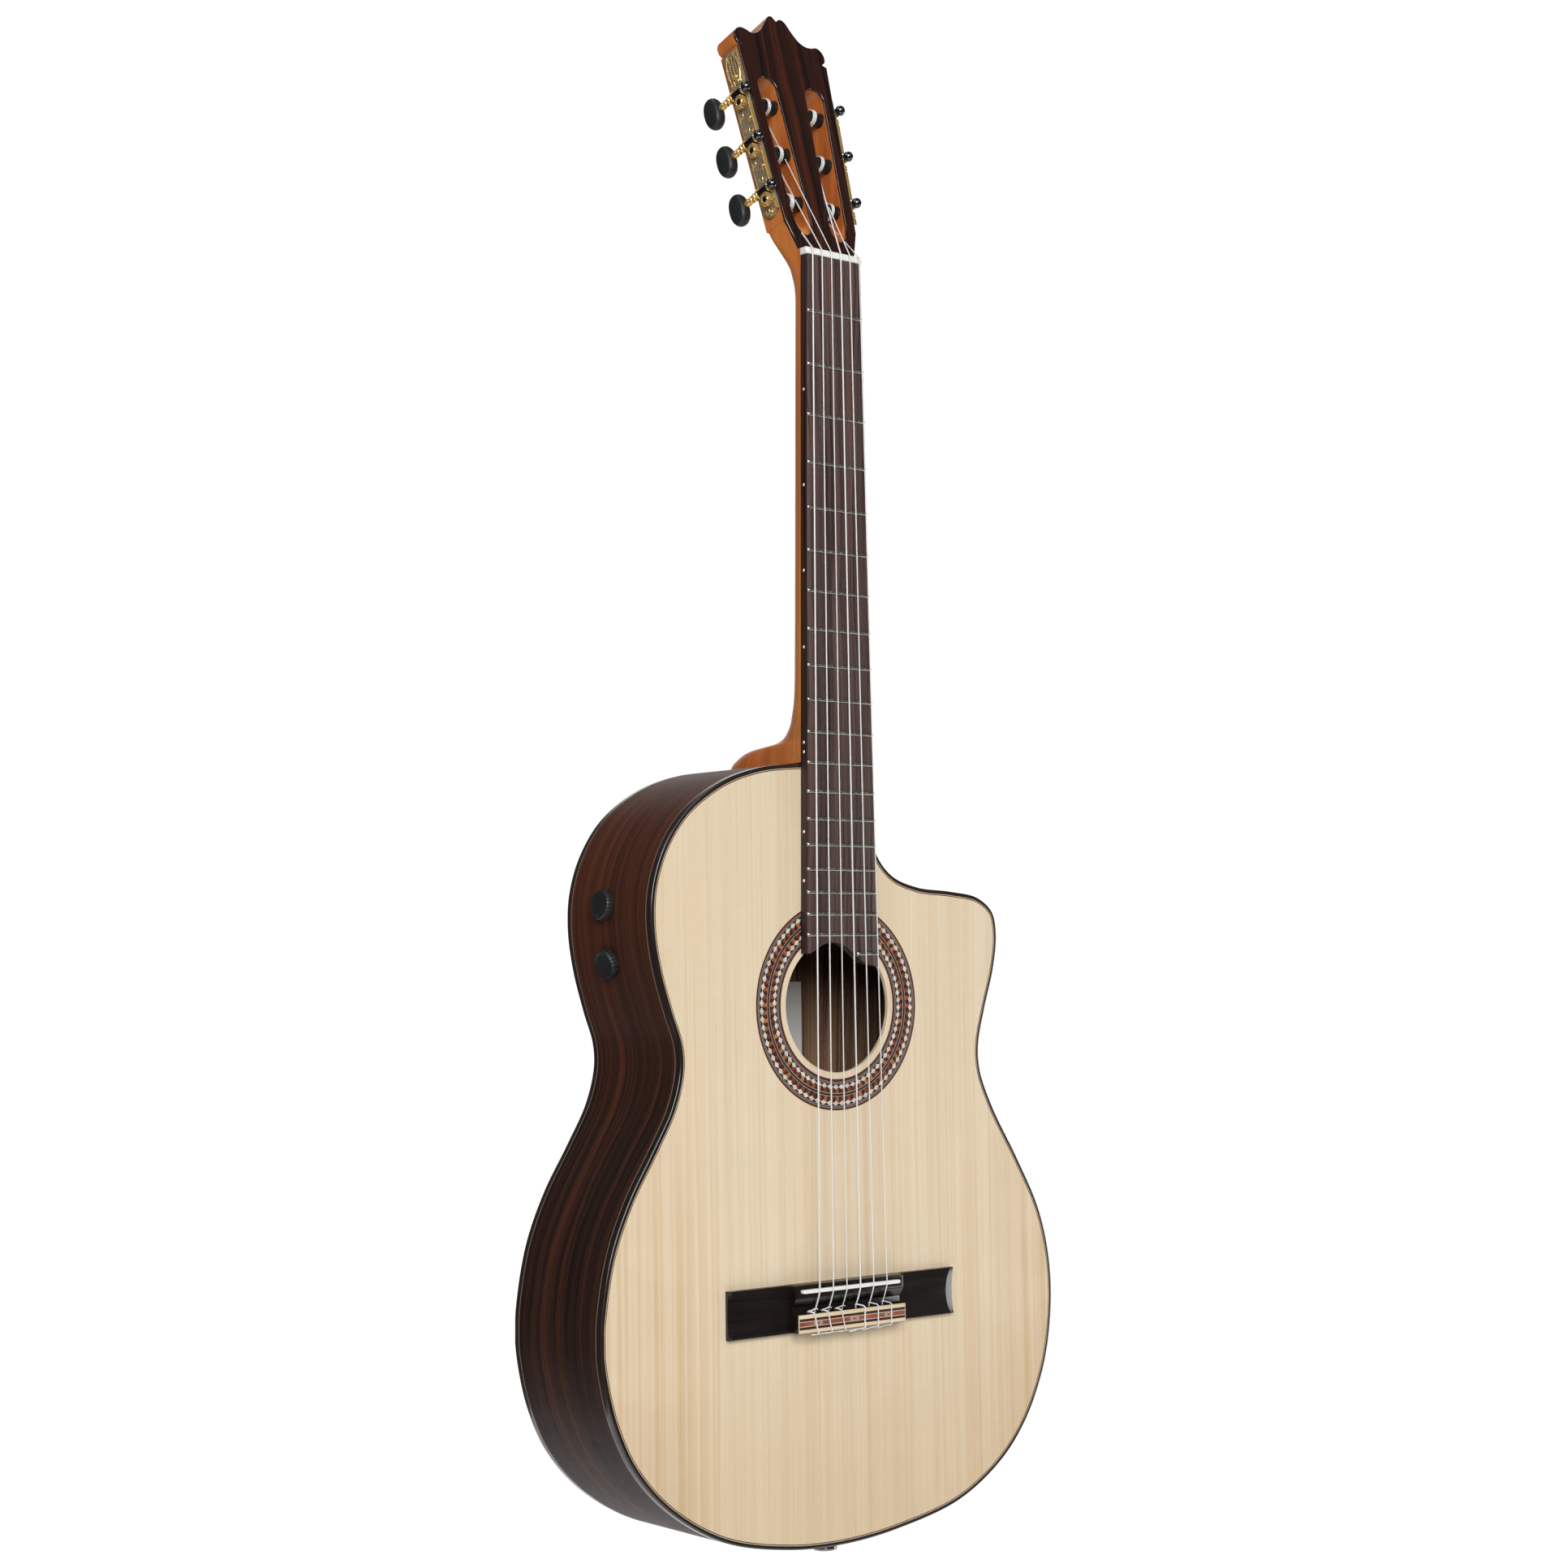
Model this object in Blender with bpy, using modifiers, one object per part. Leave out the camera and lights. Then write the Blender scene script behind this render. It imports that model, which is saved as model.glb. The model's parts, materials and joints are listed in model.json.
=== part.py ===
# Cutaway nylon-string (classical) guitar with an under-saddle pickup.
# Units: metres, +Z up.  The guitar stands upright with its neck along +Z and its
# soundboard facing -Y.  Bass side is -X, treble (cutaway) side is +X.
# Origin: the string's zero point at the nut, on the centre line, in the plane of
# the soundboard's outer face.
# Lengths below are written in millimetres and turned into metres by MM.

import bpy
import bmesh
import math
import numpy as np
from mathutils import Matrix, Vector

MM = 0.001
GAP = 0.3                      # working gap between pieces that touch

# ---- scale and neck -------------------------------------------------------
SCALE = 650.0                  # open string length
FRETS = 20
JOIN_FRET = 12                 # fret at the body joint
NUT_HALF = 22.6                # half width of the fingerboard at the nut
JOIN_HALF = 27.8               # half width at the twelfth fret
BOARD_T = 6.0                  # fingerboard thickness
FRET_W = 2.2
FRET_H = 1.0
NUT_T = 4.8
NUT_SPREAD = 39.2              # outer strings, centre to centre, at the nut
SADDLE_SPREAD = 55.5           # the same at the saddle
STRING_NUT_Y = -8.7
STRING_SADDLE_Y = -12.0
STRING_R = (0.36, 0.41, 0.51, 0.38, 0.45, 0.55)      # first to sixth string

# ---- body -----------------------------------------------------------------
TOP_T = 2.5                    # soundboard thickness
BACK_T = 2.4
RIB_T = 2.0
BIND_W = 2.0                   # binding width, seen from the front
BIND_H = 5.5                   # binding height, seen from the side
HOLE_Z = -477.5
HOLE_R = 42.3
ROSE_R0 = 46.4
ROSE_R1 = 66.0
BACK_D0 = 84.3                 # body depth at the neck end, at the ribs
BACK_D1 = 8.5                  # growth of that depth towards the tail
BACK_ARCH = 4.0                # rise of the arched back
BODY_TOP = -325.0
BODY_LEN = 487.3

# ---- head -----------------------------------------------------------------
TILT = math.radians(16.45)     # head angle
HEAD_T = 19.5                  # head thickness with its veneer
PLATE_T = 2.0                  # head veneer thickness
HEAD_Z0 = 5.0
HEAD_HALF0 = 30.15             # half width at S0
HEAD_S0 = 20.1
HEAD_HALF1 = 37.8              # half width at S1
HEAD_S1 = 147.7

# ---- tuners ---------------------------------------------------------------
TEETH = 16
CENTRES = 6.5                  # worm axis to gear axis
GEAR_TIP = 4.85
GEAR_ROOT = 4.05
GEAR_W = 2.6
GEAR_A = 3.0                   # gear's inner face, out from the side of the head
WORM_CORE = 1.45
WORM_TIP = 2.2
LEAD = 2 * math.pi * 4.55 / TEETH
ROLLER_R = 4.75
ROLLER_DEPTH = 7.9             # roller axis, behind the head's front face
TUNER_S = (37.5, 73.0, 108.5)
PLATE_A0 = 0.3                 # side plate, from the side of the head
PLATE_A1 = 1.5


# ===========================================================================
# scene and helpers
# ===========================================================================
for ob in list(bpy.data.objects):
    bpy.data.objects.remove(ob, do_unlink=True)

PARTS = bpy.data.collections.new("classical_guitar")
CUTS = bpy.data.collections.new("cutters")
bpy.context.scene.collection.children.link(PARTS)
bpy.context.scene.collection.children.link(CUTS)


def material(name, colour, rough, metal=0.0):
    m = bpy.data.materials.new(name)
    m.use_nodes = True
    b = m.node_tree.nodes["Principled BSDF"]
    b.inputs["Base Color"].default_value = (*colour, 1.0)
    b.inputs["Roughness"].default_value = rough
    b.inputs["Metallic"].default_value = metal
    m.diffuse_color = (*colour, 1.0)
    return m


SPRUCE = material("spruce", (0.80, 0.66, 0.46), 0.35)
ROSEWOOD = material("rosewood", (0.075, 0.025, 0.014), 0.3)
BINDING = material("binding", (0.02, 0.014, 0.012), 0.3)
ROSETTE = material("rosette_mosaic", (0.25, 0.08, 0.04), 0.35)
LINING = material("lining_wood", (0.45, 0.25, 0.12), 0.7)
BRACE = material("brace_wood", (0.70, 0.52, 0.32), 0.7)
PAPER = material("label_paper", (0.62, 0.62, 0.60), 0.8)
MAHOGANY = material("neck_wood", (0.46, 0.17, 0.05), 0.45)
HEADVEN = material("head_veneer", (0.06, 0.016, 0.010), 0.1)
BOARD = material("fingerboard_wood", (0.105, 0.062, 0.052), 0.5)
FRETM = material("fret_metal", (0.62, 0.60, 0.56), 0.25, 1.0)
BONE = material("bone", (0.88, 0.87, 0.83), 0.3)
BRIDGEW = material("bridge_wood", (0.022, 0.012, 0.010), 0.2)
INLAY = material("tie_inlay", (0.42, 0.16, 0.06), 0.3)
NYLON = material("nylon", (0.72, 0.72, 0.70), 0.2)
WOUND = material("wound_string", (0.72, 0.71, 0.69), 0.3, 0.8)
BLACKP = material("black_plastic", (0.012, 0.012, 0.013), 0.5)
CHROME = material("chrome", (0.75, 0.75, 0.77), 0.12, 1.0)
GOLD = material("gold_plate", (0.83, 0.56, 0.22), 0.22, 1.0)
BLACKM = material("black_metal", (0.03, 0.03, 0.033), 0.25, 1.0)
SHIELD = material("pickup_shield", (0.45, 0.30, 0.16), 0.4, 0.8)


def add(obj, name, mat, smooth=True, angle=35.0):
    """Take the object into the guitar's collection under its final name."""
    for c in list(obj.users_collection):
        c.objects.unlink(obj)
    PARTS.objects.link(obj)
    obj.hide_render = False
    obj.display_type = 'TEXTURED'
    obj.name = name
    obj.data.name = name
    obj.data.materials.clear()
    obj.data.materials.append(mat)
    if smooth:
        obj.data.shade_smooth()
        obj.data.set_sharp_from_angle(angle=math.radians(angle))
    return obj


def scratch(mesh, name="scratch"):
    ob = bpy.data.objects.new(name, mesh)
    CUTS.objects.link(ob)
    ob.hide_render = True
    ob.display_type = 'WIRE'
    return ob


def weld(mesh, dist=0.00002):
    bm = bmesh.new()
    bm.from_mesh(mesh)
    bmesh.ops.remove_doubles(bm, verts=bm.verts, dist=dist)
    bmesh.ops.recalc_face_normals(bm, faces=bm.faces)
    bm.to_mesh(mesh)
    bm.free()


def settle(obj, world=False):
    """Replace an object by a plain mesh object of what it evaluates to."""
    bpy.context.view_layer.update()
    dg = bpy.context.evaluated_depsgraph_get()
    mesh = bpy.data.meshes.new_from_object(obj.evaluated_get(dg))
    mat = obj.matrix_world.copy()
    name = obj.name
    bpy.data.objects.remove(obj, do_unlink=True)
    weld(mesh)
    new = scratch(mesh, name)
    if world:
        mesh.transform(mat)
    else:
        new.matrix_world = mat
    return new


def outline(loops, thick, mat=None):
    """Flat outline, one loop or more (inner loops are holes), extruded about its
    own XY plane by thick (mm) in all.  Points are in mm."""
    cu = bpy.data.curves.new("outline", 'CURVE')
    cu.dimensions = '2D'
    cu.fill_mode = 'BOTH'
    cu.extrude = thick * MM / 2
    for loop in loops:
        sp = cu.splines.new('POLY')
        sp.points.add(len(loop) - 1)
        for p, (x, y) in zip(sp.points, loop):
            p.co = (x * MM, y * MM, 0, 1)
        sp.use_cyclic_u = True
    ob = bpy.data.objects.new("outline", cu)
    CUTS.objects.link(ob)
    if mat is not None:
        ob.matrix_world = mat
    return settle(ob)


# local XY of an outline laid on world X and Z, its thickness along Y
FRONT = Matrix(((1, 0, 0, 0), (0, 0, -1, 0), (0, 1, 0, 0), (0, 0, 0, 1)))
# local XY laid on world Y and Z, its thickness along X
SIDE = Matrix(((0, 0, 1, 0), (1, 0, 0, 0), (0, 1, 0, 0), (0, 0, 0, 1)))


def at(x, y, z):
    return Matrix.Translation((x * MM, y * MM, z * MM))


def flat(loops, y0, y1):
    """Outline in X,Z between two depths, as world-space geometry."""
    ob = outline(loops, y1 - y0, at(0, (y0 + y1) / 2, 0) @ FRONT)
    ob.data.transform(ob.matrix_world)
    ob.matrix_world = Matrix.Identity(4)
    return ob


def circle(cx, cz, r, n):
    return [(cx + r * math.cos(2 * math.pi * k / n), cz + r * math.sin(2 * math.pi * k / n))
            for k in range(n)]


def box(x0, x1, y0, y1, z0, z1, taper=None):
    bm = bmesh.new()
    bmesh.ops.create_cube(bm, size=1.0)
    for v in bm.verts:
        v.co = (((x0 + x1) / 2 + v.co.x * (x1 - x0)) * MM,
                ((y0 + y1) / 2 + v.co.y * (y1 - y0)) * MM,
                ((z0 + z1) / 2 + v.co.z * (z1 - z0)) * MM)
    me = bpy.data.meshes.new("box")
    bm.to_mesh(me)
    bm.free()
    return scratch(me, "box")


def cylinder(r, length, mat, n=16, r2=None):
    """Cylinder about its own Z, centred, in mm."""
    bm = bmesh.new()
    bmesh.ops.create_cone(bm, cap_ends=True, segments=n, radius1=r * MM,
                          radius2=(r if r2 is None else r2) * MM, depth=length * MM)
    me = bpy.data.meshes.new("cylinder")
    bm.to_mesh(me)
    bm.free()
    ob = scratch(me, "cylinder")
    ob.matrix_world = mat
    return ob


def boolean(target, cutter, op, keep=False):
    """Boolean by the EXACT solver; target keeps its own placement."""
    m = target.modifiers.new("cut", 'BOOLEAN')
    m.operation = op
    m.solver = 'EXACT'
    m.object = cutter
    bpy.context.view_layer.update()
    dg = bpy.context.evaluated_depsgraph_get()
    mesh = bpy.data.meshes.new_from_object(target.evaluated_get(dg))
    target.modifiers.clear()
    target.data = mesh
    if not keep:
        bpy.data.objects.remove(cutter, do_unlink=True)
    return target


def join_loose(objs):
    """One mesh of several solids that don't meet (for one Boolean)."""
    bm = bmesh.new()
    for o in objs:
        me = o.data.copy()
        me.transform(o.matrix_world)
        bm.from_mesh(me)
        bpy.data.objects.remove(o, do_unlink=True)
    me = bpy.data.meshes.new("joined")
    bm.to_mesh(me)
    bm.free()
    return scratch(me, "joined")


def turned(profile, steps, mat):
    """Turned solid about its own Z from (radius, height) points in mm, running
    from the top of the axis down the outer side to the bottom of the axis."""
    me = bpy.data.meshes.new("profile")
    me.from_pydata([(r * MM, 0, z * MM) for r, z in profile],
                   [(i, i + 1) for i in range(len(profile) - 1)], [])
    ob = scratch(me, "turned")
    s = ob.modifiers.new("screw", 'SCREW')
    s.steps = steps
    s.render_steps = steps
    s.use_merge_vertices = True
    s.merge_threshold = 0.00001
    s.use_normal_calculate = True
    ob.matrix_world = mat
    return settle(ob)


def tube(points, r, mat=None, res=1):
    """Round wire through points (mm)."""
    cu = bpy.data.curves.new("wire", 'CURVE')
    cu.dimensions = '3D'
    cu.bevel_depth = r * MM
    cu.bevel_resolution = res
    cu.use_fill_caps = True
    cu.resolution_u = 1
    cu.render_resolution_u = 0
    sp = cu.splines.new('POLY')
    sp.points.add(len(points) - 1)
    for p, co in zip(sp.points, points):
        p.co = (co[0] * MM, co[1] * MM, co[2] * MM, 1)
    ob = bpy.data.objects.new("wire", cu)
    CUTS.objects.link(ob)
    if mat is not None:
        ob.matrix_world = mat
    return settle(ob)


def loft(sections, name):
    """Closed skin over rings with equal point counts, both ends capped (mm)."""
    bm = bmesh.new()
    rings = [[bm.verts.new((x * MM, y * MM, z * MM)) for x, y, z in ring] for ring in sections]
    n = len(rings[0])
    for a, b in zip(rings, rings[1:]):
        for i in range(n):
            bm.faces.new((a[i], a[(i + 1) % n], b[(i + 1) % n], b[i]))
    bm.faces.new(rings[0])
    bm.faces.new(list(reversed(rings[-1])))
    bmesh.ops.recalc_face_normals(bm, faces=bm.faces)
    me = bpy.data.meshes.new(name)
    bm.to_mesh(me)
    bm.free()
    return scratch(me, name)


def spline_through(points, dense=24):
    """Smooth line through control points (chord-length Catmull-Rom)."""
    p = np.array(points, float)
    p = np.vstack([2 * p[0] - p[1], p, 2 * p[-1] - p[-2]])
    out = []
    for i in range(1, len(p) - 2):
        p0, p1, p2, p3 = p[i - 1], p[i], p[i + 1], p[i + 2]
        d0 = max(np.linalg.norm(p1 - p0), 1e-6) ** 0.5
        d1 = max(np.linalg.norm(p2 - p1), 1e-6) ** 0.5
        d2 = max(np.linalg.norm(p3 - p2), 1e-6) ** 0.5
        m1 = d1 * ((p1 - p0) / d0 - (p2 - p0) / (d0 + d1) + (p2 - p1) / d1)
        m2 = d1 * ((p2 - p1) / d1 - (p3 - p1) / (d1 + d2) + (p3 - p2) / d2)
        for k in range(dense):
            t = k / dense
            out.append((2 * t**3 - 3 * t**2 + 1) * p1 + (t**3 - 2 * t**2 + t) * m1
                       + (-2 * t**3 + 3 * t**2) * p2 + (t**3 - t**2) * m2)
    out.append(p[-2])
    return np.array(out)


def thin_out(line, count):
    """Pick count+1 points, closer together where the line turns."""
    seg = np.diff(line, axis=0)
    ln = np.hypot(seg[:, 0], seg[:, 1])
    ang = np.unwrap(np.arctan2(seg[:, 1], seg[:, 0]))
    turn = np.abs(np.diff(ang, prepend=ang[0]))
    s = np.concatenate([[0], np.cumsum(ln / ln.sum() + 0.9 * turn / max(turn.sum(), 1e-9))])
    want = np.linspace(0, s[-1], count + 1)
    return np.column_stack([np.interp(want, s, line[:, 0]), np.interp(want, s, line[:, 1])])


# ===========================================================================
# plan of the body
# ===========================================================================
# Control points of the outer edge (x, z), neck seam -> tail seam on the bass
# side, then tail seam -> neck seam on the treble side with its cutaway.
BASS = [(0, -325), (-32, -325.8), (-62, -329.5), (-91, -339.2), (-119.4, -358.4),
        (-136, -381), (-144.4, -405), (-145.6, -428), (-141.5, -453), (-133, -480),
        (-126, -499), (-125, -514), (-131, -536), (-146, -562), (-163, -589),
        (-176.3, -619), (-183.5, -652.6), (-184.9, -675), (-181.4, -698.8),
        (-174.3, -722.2), (-161, -747.3), (-136, -773.5), (-95.3, -797.3),
        (-45, -809.3), (0, -812.3)]
TREBLE = [(0, -812.3), (46, -809), (100, -797.8), (137.5, -777), (159, -755),
          (173, -731), (181.5, -706), (185.6, -671), (182.5, -641), (174, -614),
          (156, -582), (134, -547), (123.5, -523), (122.3, -506), (128.5, -482),
          (137, -456), (140.3, -434), (137, -418.5), (124, -409), (100, -405),
          (70, -402.4), (48, -395), (35, -381), (31.5, -362), (30, -345),
          (29, -333), (25.5, -327.2), (18, -325), (0, -325)]
N_BASS, N_TREBLE = 28, 36

_closed = spline_through(BASS + TREBLE[1:])
_cut = (len(BASS) - 1) * 24
LINE_B = thin_out(_closed[:_cut + 1], N_BASS)
LINE_T = thin_out(_closed[_cut:], N_TREBLE)
OUTER = np.vstack([LINE_B[:-1], LINE_T[:-1]])


def inset(d, line=None):
    """The outer edge moved inwards by d, without the loops that tight corners
    would give."""
    base = OUTER if line is None else line
    n = len(base)
    out = []
    for i in range(n):
        a, b, c = base[i - 1], base[i], base[(i + 1) % n]
        t1 = (b - a) / np.linalg.norm(b - a)
        t2 = (c - b) / np.linalg.norm(c - b)
        n1 = np.array([-t1[1], t1[0]])
        n2 = np.array([-t2[1], t2[0]])
        m = n1 + n2
        m = m / np.dot(m, n1)
        q = b + m * d
        out.append(q)
    out = np.array(out)
    if d > 3:
        keep = []
        for q in out:
            best = 1e9
            for i in range(n):
                a, b = base[i], base[(i + 1) % n]
                ab = b - a
                t = min(1, max(0, np.dot(q - a, ab) / np.dot(ab, ab)))
                best = min(best, np.linalg.norm(q - a - t * ab))
            if best > d - 0.05:
                keep.append(q)
        out = np.array(keep)
    return out


def back_y(x, z):
    """Depth of the arched back's outer face at a point of the plan."""
    t = min(1.0, max(0.0, (BODY_TOP - z) / BODY_LEN))
    return BACK_D0 + BACK_D1 * t ** 0.8 + BACK_ARCH * (1 - (x / 186.0) ** 2)


def lay_on_back(ob):
    """Read y as an offset from the back's outer face and lay the mesh on it."""
    for v in ob.data.vertices:
        v.co.y = (back_y(v.co.x / MM, v.co.z / MM) + v.co.y / MM) * MM
    ob.data.update()
    return ob


def rib_strip(line, name):
    """Bent side: a strip from binding to binding, made solid inwards."""
    me = bpy.data.meshes.new(name)
    front = BIND_H + GAP
    rows = [[(x, front, z) for x, z in line],
            [(x, back_y(x, z) - BIND_H - GAP, z) for x, z in line]]
    n = len(line)
    verts = [(x * MM, y * MM, z * MM) for row in rows for x, y, z in row]
    me.from_pydata(verts, [], [(i, i + 1, n + i + 1, n + i) for i in range(n - 1)])
    ob = scratch(me, name)
    s = ob.modifiers.new("skin", 'SOLIDIFY')
    s.thickness = RIB_T * MM
    s.offset = -1.0
    s.use_even_offset = True
    # the strip's normal must look outwards so that the wood grows inwards
    me.update()
    f = me.polygons[n // 2]
    c = f.center
    if f.normal.dot(Vector((c.x, 0, c.z + 0.6))) < 0:
        me.flip_normals()
    ob = settle(ob)
    return ob


def ends_trimmed(line, d):
    """Shorten a line at both ends by d."""
    a = line.copy()
    u = (a[1] - a[0]) / np.linalg.norm(a[1] - a[0])
    v = (a[-2] - a[-1]) / np.linalg.norm(a[-2] - a[-1])
    a[0] = a[0] + u * d
    a[-1] = a[-1] + v * d
    return a


# ===========================================================================
# body shell
# ===========================================================================
hole = circle(0, HOLE_Z, HOLE_R, 36)
top = flat([inset(BIND_W + GAP), hole], 0, TOP_T)
channel = flat([circle(0, HOLE_Z, ROSE_R1 + GAP, 36), circle(0, HOLE_Z, ROSE_R0 - GAP, 36)], -1.0, 1.1)
top = boolean(top, channel, 'DIFFERENCE')
add(top, "soundboard", SPRUCE)

rose = flat([circle(0, HOLE_Z, ROSE_R1, 36), circle(0, HOLE_Z, ROSE_R0, 36)], 0.0, 0.8)
add(rose, "rosette", ROSETTE)

bind_in = inset(BIND_W)
add(flat([OUTER, bind_in], 0, BIND_H), "top_binding", BINDING)
add(lay_on_back(flat([OUTER, bind_in], -BIND_H, 0)), "back_binding", BINDING)

rib_b = rib_strip(ends_trimmed(LINE_B, GAP / 2), "rib_bass")
rib_t = rib_strip(ends_trimmed(LINE_T, GAP / 2), "rib_treble")

lin_out, lin_in = inset(RIB_T + 0.4), inset(8.4)
add(flat([lin_out, lin_in], TOP_T + GAP, 15.0), "top_lining", LINING)
add(lay_on_back(flat([lin_out, lin_in], -14.5, -BACK_T - GAP)), "back_lining", LINING)

# arched back: a grid laid on the arch, made solid inwards, trimmed to the plan
bm = bmesh.new()
bmesh.ops.create_grid(bm, x_segments=9, y_segments=12, size=0.5)
for v in bm.verts:
    x, z = v.co.x * 384, -569 + v.co.y * 500
    v.co = (x * MM, back_y(x, z) * MM, z * MM)
bmesh.ops.recalc_face_normals(bm, faces=bm.faces)
me = bpy.data.meshes.new("back")
bm.to_mesh(me)
bm.free()
if me.polygons[0].normal.y < 0:
    me.flip_normals()
back = scratch(me, "back")
s = back.modifiers.new("skin", 'SOLIDIFY')
s.thickness = BACK_T * MM
s.offset = -1.0
back = settle(back)
plan = flat([inset(BIND_W + GAP)], 60, 120)
back = boolean(back, plan, 'INTERSECT')
add(back, "back_plate", ROSEWOOD)


# ===========================================================================
# inside the body
# ===========================================================================
def yz_block(x0, x1, loop):
    """Outline in (y, z) run along X."""
    ob = outline([loop], x1 - x0, at((x0 + x1) / 2, 0, 0) @ SIDE)
    ob.data.transform(ob.matrix_world)
    ob.matrix_world = Matrix.Identity(4)
    return ob


# neck block: full depth, notched where the linings pass
yb = back_y(0, -340) - 0.3
blk = yz_block(-34, 15, [(TOP_T + GAP, -336.0), (15.6, -336.0), (15.6, -328.4), (yb - 16.6, -328.4),
                         (yb - 16.6, -336.0), (yb - BACK_T - 0.6, -336.0),
                         (yb - BACK_T - 0.6, -372.0), (TOP_T + GAP, -372.0)])
add(blk, "neck_block", LINING, smooth=False)

# tail block: the same at the other end, with the output jack's bore
JACK = (19.0, 42.4)
yb = back_y(38, -800) - 0.3
blk = yz_block(-34, 42, [(TOP_T + GAP, -797.4), (15.6, -798.0), (15.6, -805.4), (yb - 16.6, -805.4),
                         (yb - 16.6, -798.0), (yb - BACK_T - 0.8, -797.4),
                         (yb - BACK_T - 0.8, -786.0), (TOP_T + GAP, -786.0)])
bore = cylinder(6.3, 60, at(JACK[0], JACK[1], -800), 14)
blk = boolean(blk, bore, 'DIFFERENCE', keep=True)
add(blk, "tail_block", LINING, smooth=False)
rib_t = boolean(rib_t, bore, 'DIFFERENCE')
add(rib_t, "rib_treble", ROSEWOOD)


def bar(x0, z0, x1, z1, w, y0, y1, scoop):
    """Strut from (x0,z0) to (x1,z1), w wide; its inner edge is scooped short."""
    a, b = Vector((x0, z0)), Vector((x1, z1))
    d = (b - a)
    ln = d.length
    d.normalize()
    n = Vector((-d.y, d.x))
    rings = []
    for s_, y in ((0, y0), (scoop, y1), (ln - scoop, y1), (ln, y0)):
        rings.append((s_, y))
    bm = bmesh.new()
    vs = []
    for side in (-w / 2, w / 2):
        row = []
        for s_, y in rings:
            p = a + d * s_ + n * side
            row.append(bm.verts.new((p.x * MM, y * MM, p.y * MM)))
        vs.append(row)
    bm.faces.new(vs[0])
    bm.faces.new(list(reversed(vs[1])))
    for i in range(4):
        j = (i + 1) % 4
        bm.faces.new((vs[0][j], vs[0][i], vs[1][i], vs[1][j]))
    bmesh.ops.recalc_face_normals(bm, faces=bm.faces)
    me = bpy.data.meshes.new("bar")
    bm.to_mesh(me)
    bm.free()
    return scratch(me, "bar")


TOP_IN = TOP_T + GAP
bars = bar(-133, -424, 127, -424, 6, TOP_IN, 18.5, 25)
bars = boolean(bars, bar(-115, -531, 115, -531, 6, TOP_IN, 18.6, 25), 'UNION')
for x in (-56, 56):
    bars = boolean(bars, bar(x, -420, x, -535, 5, TOP_IN, 7.8, 1), 'UNION')
add(bars, "harmonic_bars", BRACE, smooth=False)

fan = box(-82, 82, TOP_IN, 4.6, -678, -649)
for k in (-2, -1, 0, 1, 2):
    fan = boolean(fan, bar(k * 15, -546, k * 40, -783 if abs(k) < 2 else -772, 6, TOP_IN, 8.5 + 0.07 * k, 20), 'UNION')
add(fan, "fan_bracing", BRACE, smooth=False)


def back_bar(x0, x1, z0, z1, nx, nz, top_off, deep):
    """Brace laid on the arched back's inner face."""
    bm = bmesh.new()
    bmesh.ops.create_grid(bm, x_segments=nx, y_segments=nz, size=0.5)
    for v in bm.verts:
        x, z = (x0 + x1) / 2 + v.co.x * (x1 - x0), (z0 + z1) / 2 + v.co.y * (z1 - z0)
        v.co = (x * MM, (back_y(x, z) - BACK_T - top_off) * MM, z * MM)
    bmesh.ops.recalc_face_normals(bm, faces=bm.faces)
    me = bpy.data.meshes.new("back_bar")
    bm.to_mesh(me)
    bm.free()
    if me.polygons[0].normal.y < 0:
        me.flip_normals()
    ob = scratch(me, "back_bar")
    s = ob.modifiers.new("skin", 'SOLIDIFY')
    s.thickness = deep * MM
    s.offset = -1.0
    return settle(ob)


bb = back_bar(-8, 8, -374, -784, 1, 12, 0.5, 1.6)
for z, left, right in ((-430, -133, 127), (-562, -129, 129), (-705, -166, 166)):
    bb = boolean(bb, back_bar(left, right, z - 4, z + 4, 10, 1, 0.45, 13.0), 'UNION')
add(bb, "back_bracing", BRACE, smooth=False)

y_lab = back_y(42, -500) - BACK_T - 0.5 - 1.6 - 0.5
add(box(-42, 42, y_lab - 0.35, y_lab, -540, -463), "label", PAPER, smooth=False)


# ===========================================================================
# neck: shaft, heel and slotted head in one piece of wood
# ===========================================================================
S_T, C_T = math.sin(TILT), math.cos(TILT)
# head frame: local X = world X, local Y = up along the head, local Z = towards
# the player (out of the head's front face)
HEAD = Matrix(((1, 0, 0, 0), (0, S_T, -C_T, 0), (0, C_T, S_T, HEAD_Z0 * MM), (0, 0, 0, 1)))


def head_pt(x, s_, depth):
    """World point (mm) from head coordinates."""
    return (x, s_ * S_T + depth * C_T, HEAD_Z0 + s_ * C_T - depth * S_T)


def board_half(z):
    return NUT_HALF + (JOIN_HALF - NUT_HALF) * (-z / 325.0)


def section(w, d0, d1, p, place, narrow=0.0, n=10):
    """Rounded-back section: flat front at depth d0, back at depth d1."""
    ring = []
    for i in range(n + 1):
        a = math.pi * i / n
        c, s_ = math.cos(a), math.sin(a)
        x = w * math.copysign(abs(c) ** (2 / p), c)
        d = d0 + (d1 - d0) * abs(s_) ** (2 / p)
        x *= 1 - narrow * (d - d0) / (d1 - d0)
        ring.append(place(x, d))
    return ring


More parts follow.
